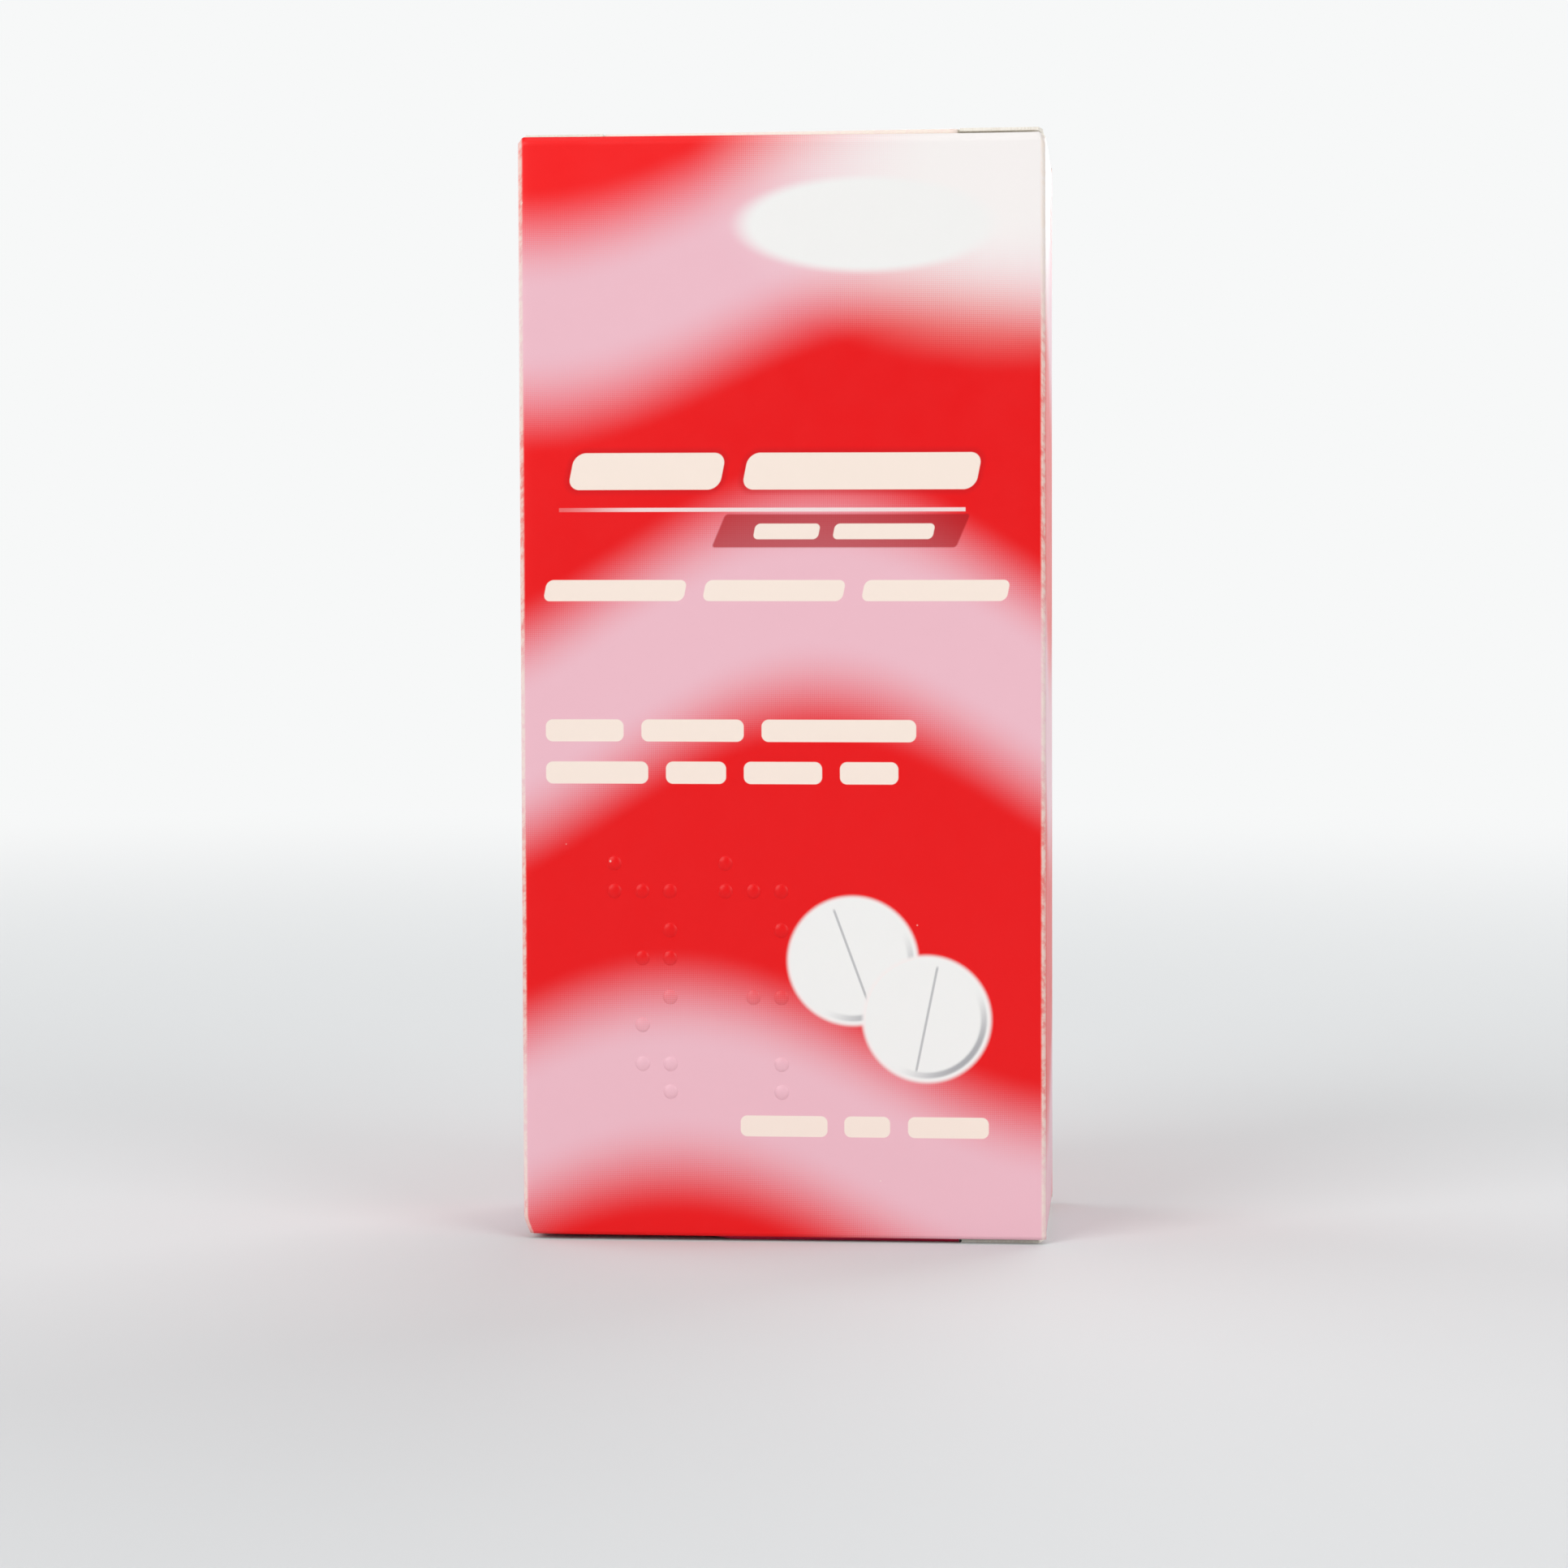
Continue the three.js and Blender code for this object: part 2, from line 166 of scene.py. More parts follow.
profile = [(SWEEP_FRONT, 0.0)]
for step in range(SWEEP_STEPS + 1):
    angle = math.pi / 2 * step / SWEEP_STEPS
    profile.append((SWEEP_BACK + SWEEP_RADIUS * math.sin(angle), SWEEP_RADIUS * (1 - math.cos(angle))))
profile.append((SWEEP_BACK + SWEEP_RADIUS, SWEEP_TOP))
sweep_mesh = bpy.data.meshes.new("studio_sweep")
sweep_points = [(side * SWEEP_HALF_WIDTH, y, z) for y, z in profile for side in (-1, 1)]
sweep_faces = [(2 * i, 2 * i + 1, 2 * i + 3, 2 * i + 2) for i in range(len(profile) - 1)]
sweep_mesh.from_pydata(sweep_points, [], sweep_faces)
for polygon in sweep_mesh.polygons:
    polygon.use_smooth = True
sweep_look, sweep_tree, sweep_shader = new_material("studio_sweep", 0.9, ink(214, 216, 217))
sweep_shader.inputs["Specular IOR Level"].default_value = SWEEP_SHINE
far_white = add_node(sweep_tree, "ShaderNodeEmission")
far_white.inputs["Color"].default_value = ink(247, 248, 248)
sweep_place = add_node(sweep_tree, "ShaderNodeTexCoord").outputs["Object"]
fade = ramp(sweep_tree, vector_sum(sweep_tree, "LENGTH", sweep_place), FADE_START, FADE_END)
rays = add_node(sweep_tree, "ShaderNodeLightPath")
seen = rays.outputs["Is Camera Ray"]
for ray in ("Is Glossy Ray", "Is Transmission Ray"):
    seen = calc(sweep_tree, "MAXIMUM", seen, rays.outputs[ray])
either_shader = add_node(sweep_tree, "ShaderNodeMixShader")
sweep_tree.links.new(calc(sweep_tree, "MULTIPLY", fade, seen), either_shader.inputs[0])
sweep_tree.links.new(sweep_shader.outputs[0], either_shader.inputs[1])
sweep_tree.links.new(far_white.outputs[0], either_shader.inputs[2])
sweep_tree.links.new(either_shader.outputs[0], sweep_tree.nodes["Material Output"].inputs["Surface"])
sweep_mesh.materials.append(sweep_look)
sweep = bpy.data.objects.new("studio_sweep", sweep_mesh)
bpy.context.scene.collection.objects.link(sweep)


def soft_lamp(name, place, size, power):
    lamp_data = bpy.data.lights.new(name, "AREA")
    lamp_data.shape = "RECTANGLE"
    lamp_data.size, lamp_data.size_y = size
    lamp_data.energy = power
    lamp = bpy.data.objects.new(name, lamp_data)
    aim = Vector(CARTON_MIDDLE) - Vector(place)
    lamp.matrix_world = Matrix.Translation(place) @ aim.to_track_quat("-Z", "Y").to_matrix().to_4x4()
    bpy.context.scene.collection.objects.link(lamp)


soft_lamp("lamp_left", (-0.9, -1.3, 0.9), (1.0, 1.2), 14.2)
soft_lamp("lamp_right", (1.1, -1.1, 0.7), (0.9, 1.1), 8.6)
soft_lamp("lamp_above", (0.0, -0.2, 1.6), (1.4, 1.4), 6.7)
soft_lamp("lamp_behind", (0.5, 1.3, 0.8), (1.2, 1.2), 12.4)
soft_lamp("lamp_behind_left", (-1.3, 0.5, 0.6), (1.0, 1.0), 5.7)
world = bpy.data.worlds.new("studio_air")
world.use_nodes = True
world.node_tree.nodes["Background"].inputs["Color"].default_value = (1, 1, 1, 1)
world.node_tree.nodes["Background"].inputs["Strength"].default_value = AIR_LIGHT
bpy.context.scene.world = world


# The carton's sleeve
# One die-cut sheet of coated board, 0.45 mm thick, creased and wrapped into four panels and glued
# down inside the left one. Its side panels fold in over both ends as dust flaps. The board has been
# handled: its lower left corner is knocked in, and its front is a little hollow.
MM = 0.001
sleeve_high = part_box("carton_sleeve")[1]
lid_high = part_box("top_lid")[1]
HALF_WIDTH = sleeve_high[0]
BACK = sleeve_high[1]
HEIGHT = lid_high[2]
BOARD = 0.45 * MM
FOLD = 0.6 * MM
FOLD_STEPS = 6
DUST_DEPTH = BOARD + 0.1 * MM
DUST_LENGTH = 17 * MM
DUST_BEVEL = 4 * MM
DUST_STEP = 1.2 * MM
DUST_FRONT = -BACK + 2.25 * MM
DUST_ROOT = BACK - 0.75 * MM
FRONT_FLAT = HALF_WIDTH - FOLD
SIDE_FLAT = 2 * (BACK - FOLD)
FOLD_LENGTH = FOLD * math.pi / 2
AROUND = 4 * FRONT_FLAT + 2 * SIDE_FLAT + 4 * FOLD_LENGTH
TOP_EDGE_LEFT, TOP_EDGE_RIGHT = HEIGHT - 0.34 * MM, HEIGHT - 0.56 * MM
CORNER_DROP = 0.5 * MM
BASE_EDGE_LEFT, BASE_EDGE_RIGHT = 0.5 * MM, 0.42 * MM
KNOCK = 0.6 * MM
KNOCK_HEIGHT = 2.2 * MM
KNOCK_REACH = 4 * MM
KNOCK_DEPTH = 12 * MM
KNOCK_BACK = 0.4
HOLLOW = 0.24 * MM
HOLLOW_RIM = 7 * MM
HOLLOW_WAVES = (130, 95, 60, 40)


def ease(value):
    value = min(max(value, 0.0), 1.0)
    return value * value * (3 - 2 * value)


def handled(point):
    """Where a point of the board lies after handling: the lower left corner is pushed to the right."""
    x, y, z = point
    push = ease(1 - z / KNOCK_HEIGHT) * ease(1 - (x + HALF_WIDTH) / KNOCK_REACH)
    push *= ease(1 - (y + BACK) / KNOCK_DEPTH)
    return Vector((x + KNOCK * push, y + KNOCK_BACK * KNOCK * push, z))


def hollow(x, z):
    """How far the front panel lies behind the line between its folds."""
    inside = ease((HALF_WIDTH - abs(x)) / HOLLOW_RIM) * ease(z / HOLLOW_RIM + 0.1)
    first, second, third, fourth = HOLLOW_WAVES
    waves = math.sin(x * first + 1) * math.cos(z * second) + math.cos(z * third + x * fourth)
    return HOLLOW * inside * (0.875 + 0.0625 * waves)


def around_board(u):
    """The place and outward direction at a distance u round the sleeve, from the front's middle."""
    u = (u + AROUND / 2) % AROUND - AROUND / 2
    way = 1 if u >= 0 else -1
    run = abs(u)
    if run <= FRONT_FLAT:
        return (way * run, -BACK), (0, -1)
    run -= FRONT_FLAT
    if run <= FOLD_LENGTH:
        angle = run / FOLD
        normal = (way * math.sin(angle), -math.cos(angle))
        return (way * FRONT_FLAT + FOLD * normal[0], -BACK + FOLD + FOLD * normal[1]), normal
    run -= FOLD_LENGTH
    if run <= SIDE_FLAT:
        return (way * HALF_WIDTH, -BACK + FOLD + run), (way, 0)
    run -= SIDE_FLAT
    if run <= FOLD_LENGTH:
        angle = run / FOLD
        normal = (way * math.cos(angle), math.sin(angle))
        return (way * FRONT_FLAT + FOLD * normal[0], BACK - FOLD + FOLD * normal[1]), normal
    run -= FOLD_LENGTH
    return (way * (FRONT_FLAT - run), BACK), (0, 1)


def steps_between(low, high, count):
    return [low + (high - low) * i / count for i in range(count + 1)]


def board_sheet(sheet, across_steps, along_steps, place, lay):
    """Adds one sheet of board. place(s, t, depth) is a point, from the print at depth 0 to the bare
    side at depth 1, and lay(s, t) is where it lies on the flat print."""
    layers = [[[sheet.verts.new(place(s, t, depth)) for t in along_steps] for s in across_steps]
              for depth in (0, 1)]
    print_map = sheet.loops.layers.uv.get("print") or sheet.loops.layers.uv.new("print")

    def face(corners, slot):
        made = sheet.faces.new([layers[d][i][j] for d, i, j in corners])
        made.material_index = slot
        made.smooth = slot != 2
        for loop, (_, i, j) in zip(made.loops, corners):
            loop[print_map].uv = lay(across_steps[i], along_steps[j])

    last_i, last_j = len(across_steps) - 1, len(along_steps) - 1
    for i in range(last_i):
        for j in range(last_j):
            face([(0, i, j), (0, i + 1, j), (0, i + 1, j + 1), (0, i, j + 1)], 0)
            face([(1, i, j + 1), (1, i + 1, j + 1), (1, i + 1, j), (1, i, j)], 1)
    for i in range(last_i):
        face([(0, i + 1, 0), (0, i, 0), (1, i, 0), (1, i + 1, 0)], 2)
        face([(0, i, last_j), (0, i + 1, last_j), (1, i + 1, last_j), (1, i, last_j)], 2)
    for j in range(last_j):
        face([(0, 0, j), (0, 0, j + 1), (1, 0, j + 1), (1, 0, j)], 2)
        face([(0, last_i, j + 1), (0, last_i, j), (1, last_i, j), (1, last_i, j + 1)], 2)


def finish_sheet(name, sheet, looks):
    """Turns the faces outwards and makes the object."""
    bmesh.ops.recalc_face_normals(sheet, faces=sheet.faces)
    mesh = bpy.data.meshes.new(name)
    sheet.to_mesh(mesh)
    sheet.free()
    for look_used in looks:
        mesh.materials.append(look_used)
    piece = bpy.data.objects.new(name, mesh)
    bpy.context.scene.collection.objects.link(piece)
    return piece


def front_place(u, t, depth):
    (x, y), (nx, ny) = around_board(u)
    share = (x + HALF_WIDTH) / (2 * HALF_WIDTH)
    low = BASE_EDGE_LEFT + (BASE_EDGE_RIGHT - BASE_EDGE_LEFT) * share
    high = TOP_EDGE_LEFT + (TOP_EDGE_RIGHT - TOP_EDGE_LEFT) * ease(share)
    high -= CORNER_DROP * ease((abs(x) - FRONT_FLAT) / FOLD)
    z = low + (high - low) * t
    y += hollow(x, z)
    return handled((x - nx * BOARD * depth, y - ny * BOARD * depth, z))


def back_place(u, t, depth):
    (x, y), (nx, ny) = around_board(u)
    z = FOLD + (HEIGHT - 2 * FOLD) * t
    return Vector((x - nx * BOARD * depth, y - ny * BOARD * depth, z))


WALL_BASE = DUST_DEPTH + FOLD
DUST_FLAT = DUST_LENGTH - FOLD
SIDE_RUN = HEIGHT - 2 * WALL_BASE


def side_profile(t):
    """The dust flap, fold and wall of a side panel: how far in, how high, and which way is out."""
    over = abs(t) - SIDE_RUN / 2
    end = 1 if t >= 0 else -1
    if over <= 0:
        return 0.0, HEIGHT / 2 + t, (1, 0), 0.0
    if over <= FOLD_LENGTH:
        angle = over / FOLD
        height = SIDE_RUN / 2 + FOLD * math.sin(angle)
        return FOLD * (1 - math.cos(angle)), HEIGHT / 2 + end * height, \
            (math.cos(angle), end * math.sin(angle)), angle / (math.pi / 2)
    return FOLD + over - FOLD_LENGTH, HEIGHT / 2 + end * (SIDE_RUN / 2 + FOLD), (0, end), 1.0


def side_place(side):
    def place(s, t, depth):
        inward, z, (out, rise), folded = side_profile(t)
        wall_low, wall_high = -BACK + FOLD, BACK - FOLD
        low = wall_low + (-DUST_ROOT - wall_low) * folded
        high = wall_high + (DUST_ROOT - wall_high) * folded
        if inward > FOLD:
            tip = max(0.0, inward - (DUST_LENGTH - DUST_BEVEL))
            narrow = ease((inward - FOLD) / DUST_STEP)
            low += (DUST_FRONT - low) * narrow
            low += tip
            high -= tip
        y = low + (high - low) * s
        x = side * (HALF_WIDTH - inward - out * BOARD * depth)
        return handled((x, y, z - rise * BOARD * depth))
    return place


def side_lay(side):
    start = FRONT_FLAT + FOLD_LENGTH
    return lambda s, t: (side * (start + SIDE_FLAT * s), HEIGHT / 2 + t)


fold_reach = FRONT_FLAT + FOLD_LENGTH
base_share = 0.04
front_across = (steps_between(-fold_reach, -FRONT_FLAT, FOLD_STEPS)
                + steps_between(-FRONT_FLAT, FRONT_FLAT, 70)[1:]
                + steps_between(FRONT_FLAT, fold_reach, FOLD_STEPS)[1:])
front_along = steps_between(0, base_share, 12) + steps_between(base_share, 1, 120)[1:]
back_start = fold_reach + SIDE_FLAT
back_across = (steps_between(back_start, back_start + FOLD_LENGTH, FOLD_STEPS)
               + steps_between(back_start + FOLD_LENGTH, AROUND - back_start - FOLD_LENGTH, 24)[1:]
               + steps_between(AROUND - back_start - FOLD_LENGTH, AROUND - back_start, FOLD_STEPS)[1:])
end_run = SIDE_RUN / 2 + FOLD_LENGTH
side_along = (steps_between(-end_run - DUST_FLAT, -end_run, 20)
              + steps_between(-end_run, -SIDE_RUN / 2, FOLD_STEPS)[1:]
              + steps_between(-SIDE_RUN / 2, SIDE_RUN / 2, 80)[1:]
              + steps_between(SIDE_RUN / 2, end_run, FOLD_STEPS)[1:]
              + steps_between(end_run, end_run + DUST_FLAT, 20)[1:])

GLUE_WIDTH = 11 * MM
GLUE_BEVEL = 5 * MM
GLUE_END = 1.8 * MM
GLUE_NEAR, GLUE_FAR = 1.02 * BOARD, 1.98 * BOARD


def glue_place(s, t, depth):
    reach = GLUE_END + GLUE_BEVEL * (1 - s)
    z = reach + (HEIGHT - 2 * reach) * t
    x = -HALF_WIDTH + GLUE_NEAR + (GLUE_FAR - GLUE_NEAR) * depth
    return Vector((x, BACK - BOARD - GLUE_WIDTH * (1 - s), z))


def around_lay(u, t):
    return u, t * HEIGHT


sleeve_sheet = bmesh.new()
board_sheet(sleeve_sheet, front_across, front_along, front_place, around_lay)
board_sheet(sleeve_sheet, back_across, steps_between(0, 1, 40), back_place, around_lay)
for side in (-1, 1):
    board_sheet(sleeve_sheet, steps_between(0, 1, 24), side_along, side_place(side), side_lay(side))
glue_across, glue_along = steps_between(0, 1, 4), steps_between(0, 1, 12)
board_sheet(sleeve_sheet, glue_across, glue_along, glue_place, lambda s, t: (s, t))


# The print
# Three soft bands of pale pink run round the saturated red board, fading to near white at the upper
# right. The front has a bare white oval, plain cream bars where words would be, a thin rule with a
# darker tab under it, and two white scored tablets. A fine halftone breaks up each change of colour.
def mixed(tree, factor, first, second):
    """One colour over another."""
    made = add_node(tree, "ShaderNodeMix", data_type="RGBA")
    for socket, value in ((made.inputs[0], factor), (made.inputs[6], first), (made.inputs[7], second)):
        if isinstance(value, (int, float, tuple)):
            socket.default_value = value
        else:
            tree.links.new(value, socket)
    return made.outputs[2]


def noise(tree, vector, scale, detail=2.0, roughness=0.5):
    made = add_node(tree, "ShaderNodeTexNoise")
    made.inputs["Scale"].default_value = scale
    made.inputs["Detail"].default_value = detail
    made.inputs["Roughness"].default_value = roughness
    tree.links.new(vector, made.inputs["Vector"])
    return made.outputs["Fac"]


def bumpy(tree, shader, height, strength, distance=0.1 * MM):
    """Raises and sinks a surface by a pattern."""
    bump = add_node(tree, "ShaderNodeBump")
    bump.inputs["Strength"].default_value = strength
    bump.inputs["Distance"].default_value = distance
    tree.links.new(height, bump.inputs["Height"])
    tree.links.new(bump.outputs[0], shader.inputs["Normal"])


def rounded_bar(tree, place, low, high, height, corner):
    """How far a spot lies outside a round-cornered bar, in mm. height is its middle and its own."""
    middle = ((low + high) / 2, height[0], 0)
    half = ((high - low) / 2 - corner, height[1] / 2 - corner, 0)
    off = vector_sum(tree, "ABSOLUTE", vector_sum(tree, "SUBTRACT", place, middle))
    out = vector_sum(tree, "MAXIMUM", vector_sum(tree, "SUBTRACT", off, half), (0, 0, 0))
    return calc(tree, "SUBTRACT", vector_sum(tree, "LENGTH", out), corner)


RED = ink(232, 6, 12)
# Painted highlight: a lighter red for the upper left of the board, where the light falls most.
RED_PAINTED_HIGHLIGHT = ink(246, 24, 26)
DEEP_RED = ink(196, 8, 20)
TAB_RED = ink(176, 14, 24)
PINK = ink(236, 186, 198)
PALE = ink(243, 238, 236)
CREAM = ink(246, 230, 218)
CRIMSON = ink(214, 36, 78)
WORN = ink(242, 228, 216)
TABLET_WHITE = ink(240, 240, 238)
TABLET_SHADE = ink(168, 168, 172)
HALFTONE_PITCH = 0.17
DOT_STRENGTH = 0.8
BANDS = [  # middle height, swing, turns round the carton, phase, half width, softness, in mm
    (88, 5.5, 2, 0.4, 2.6, 9.5),
    (50, 7.5, 2, 1.3, 3.4, 9.5),
    (8, 6.0, 2, 2.4, 2.8, 9.5),
]
WORDS = [  # height of the line and of a bar, where each bar starts and ends, in mm, and if it slants
    (69.0, 3.3, [(-18.8, -5.2), (-3.2, 17.6)], True),
    (63.6, 1.4, [(-2.4, 3.4), (4.7, 13.6)], True),
    (58.3, 1.9, [(-21.2, -8.6), (-6.9, 5.6), (7.3, 20.2)], True),
    (45.7, 2.0, [(-21.2, -14.2), (-12.6, -3.4), (-1.8, 12.0)], False),
    (41.9, 2.0, [(-21.2, -12.0), (-10.4, -5.0), (-3.4, 3.6), (5.2, 10.4)], False),
    (10.0, 1.9, [(-3.8, 4.0), (5.5, 9.6), (11.2, 18.4)], False),
]
SLANT = 0.2
BAR_CORNER = 0.32
HEADLINE = 3
SHADOW_REACH = 0.7
SHADOW_STRENGTH = 0.5
SHARP = 0.05
OVAL = (7.6, 91.0, 11.0, 4.1)
OVAL_WHITE = ink(240, 239, 237)
OVAL_OUTSIDE, OVAL_INSIDE = 1.14, 0.9
RULE = (-19.9, 16.4, 65.55, 0.34)
RULE_FADE = 8
TAB = (-5.6, 16.2, 63.65, 3.0)
TAB_SLANT = 0.42
TAB_STRENGTH = 0.8
TABLETS = [(6.3, 25.0, 5.6, 0.35), (12.9, 19.8, 5.5, -0.2)]  # middle, radius and lean of the score
HALO = 0.5
RIM = 0.42
SCORE_STRENGTH = 0.75
GLOW = (21, 96, 27, 17)
GLOW_EDGE, GLOW_CORE = 1.1, 0.25
# Where the painted highlight on the red starts and where it is full, as height less distance round, in mm.
PAINTED_HIGHLIGHT_FROM, PAINTED_HIGHLIGHT_FULL = 70, 125
BASE_INK = (-0.4, -1.0)
TOP_INK = (0.2, 1.2)
TUCK_CREASE = 25.34 * MM
SCUFF_SCALE = 1.1
GLOSS_SCALE = 0.35
GRAIN_SCALE = 6
SPECK_SCALE = 0.22
SPECK_SHARE = 0.45
SPECK_STRENGTH = 0.55
PRINT_SHINE = 0.28


def print_place(tree):
    """The flat print's own millimetres, from its UV map."""
    uv = add_node(tree, "ShaderNodeUVMap", uv_map="print").outputs[0]
    return vector_sum(tree, "MULTIPLY", uv, (1000, 1000, 0))


def band_tone(tree, u, v):
    """How much the pink bands cover: 0 is red and 1 is pink."""
    turns = calc(tree, "MULTIPLY", u, 2 * math.pi / (AROUND * 1000))
    tone = None
    for middle, swing, times, phase, half, soft in BANDS:
        wave = calc(tree, "SINE", calc(tree, "MULTIPLY_ADD", turns, times, phase))
        centre = calc(tree, "MULTIPLY_ADD", wave, swing, middle)
        off = calc(tree, "ABSOLUTE", calc(tree, "SUBTRACT", v, centre))
        band = ramp(tree, off, half + soft, half)
        tone = band if tone is None else calc(tree, "MAXIMUM", tone, band)
    return tone


def halftone(tree, place, tone):
    """Breaks a tone into the fine slanted screen of dots that the press lays down."""
    parts = add_node(tree, "ShaderNodeSeparateXYZ")
    tree.links.new(place, parts.inputs[0])
    turn_rate = 2 * math.pi / (HALFTONE_PITCH * math.sqrt(2))
    rows = [calc(tree, way, parts.outputs[0], parts.outputs[1]) for way in ("ADD", "SUBTRACT")]
    waves = [calc(tree, "COSINE", calc(tree, "MULTIPLY", row, turn_rate)) for row in rows]
    screen = calc(tree, "MULTIPLY", waves[0], waves[1])
    between = calc(tree, "MULTIPLY", tone, calc(tree, "SUBTRACT", 1.0, tone))
    dots = calc(tree, "MULTIPLY", screen, calc(tree, "MULTIPLY", between, DOT_STRENGTH))
    return calc(tree, "ADD", tone, dots, clamp=True)


def draw_tablet(tree, place, colour, x, z, radius, lean):
    """One white scored tablet with a soft pale halo and a shaded rim on its lower right."""
    off = vector_sum(tree, "SUBTRACT", place, (x, z, 0))
    out = vector_sum(tree, "LENGTH", off)
    parts = add_node(tree, "ShaderNodeSeparateXYZ")
    tree.links.new(off, parts.inputs[0])
    colour = mixed(tree, ramp(tree, out, radius + HALO, radius), colour, PALE)
    rim = ramp(tree, calc(tree, "ABSOLUTE", calc(tree, "SUBTRACT", out, radius - RIM)), RIM, 0.1)
    lower = calc(tree, "MULTIPLY", calc(tree, "SUBTRACT", parts.outputs[0], parts.outputs[1]), 0.7)
    shade = calc(tree, "MULTIPLY", rim, ramp(tree, lower, 0.2 * radius, 1.0 * radius))
    face = mixed(tree, shade, TABLET_WHITE, TABLET_SHADE)
    side = calc(tree, "ADD", calc(tree, "MULTIPLY", parts.outputs[0], math.cos(lean)),
                calc(tree, "MULTIPLY", parts.outputs[1], math.sin(lean)))
    score = ramp(tree, calc(tree, "ABSOLUTE", side), 0.16, SHARP)
    score = calc(tree, "MULTIPLY", score, ramp(tree, out, radius - 0.5, radius - 0.9))
    face = mixed(tree, calc(tree, "MULTIPLY", score, SCORE_STRENGTH), face, TABLET_SHADE)
    return mixed(tree, ramp(tree, out, radius, radius - 0.12), colour, face)


def front_print(tree, place, colour):
    """What is printed on the front panel alone."""
    parts = add_node(tree, "ShaderNodeSeparateXYZ")
    tree.links.new(place, parts.inputs[0])
    u, v = parts.outputs[0], parts.outputs[1]

    def sheared(z, slant):
        """The print's place, slanted about one height."""
        leaning = add_node(tree, "ShaderNodeCombineXYZ")
        shift = calc(tree, "MULTIPLY", calc(tree, "SUBTRACT", v, z), slant)
        tree.links.new(calc(tree, "SUBTRACT", u, shift), leaning.inputs[0])
        tree.links.new(v, leaning.inputs[1])
        return leaning.outputs[0]

    x, z, wide, tall = OVAL
    oval = vector_sum(tree, "LENGTH", vector_sum(
        tree, "MULTIPLY", vector_sum(tree, "SUBTRACT", place, (x, z, 0)), (1 / wide, 1 / tall, 0)))
    colour = mixed(tree, ramp(tree, oval, OVAL_OUTSIDE, OVAL_INSIDE), colour, OVAL_WHITE)
    left, right, z, tall = TAB
    tab_edge = rounded_bar(tree, sheared(z, TAB_SLANT), left, right, (z, tall), 0.3)
    tab = ramp(tree, tab_edge, 2 * SHARP, -2 * SHARP)
    colour = mixed(tree, calc(tree, "MULTIPLY", tab, TAB_STRENGTH), colour, TAB_RED)
    bars, shadow = None, None
    for z, tall, words, italic in WORDS:
        spot = sheared(z, SLANT) if italic else place
        for low, high in words:
            away = rounded_bar(tree, spot, low, high, (z, tall), BAR_CORNER * tall)
            bar = ramp(tree, away, SHARP, -SHARP)
            bars = bar if bars is None else calc(tree, "MAXIMUM", bars, bar)
            if tall > HEADLINE:
                dark = ramp(tree, away, SHADOW_REACH, 0.0)
                shadow = dark if shadow is None else calc(tree, "MAXIMUM", shadow, dark)
    colour = mixed(tree, calc(tree, "MULTIPLY", shadow, SHADOW_STRENGTH), colour, DEEP_RED)
    colour = mixed(tree, bars, colour, CREAM)
    left, right, z, tall = RULE
    rule = ramp(tree, rounded_bar(tree, place, left, right, (z, tall), 0.02), SHARP, -SHARP)
    rule = calc(tree, "MULTIPLY", rule, ramp(tree, u, left, left + RULE_FADE, 0.2, 1.0))
    colour = mixed(tree, rule, colour, PALE)
    for tablet in TABLETS:
        colour = draw_tablet(tree, place, colour, *tablet)
    return colour


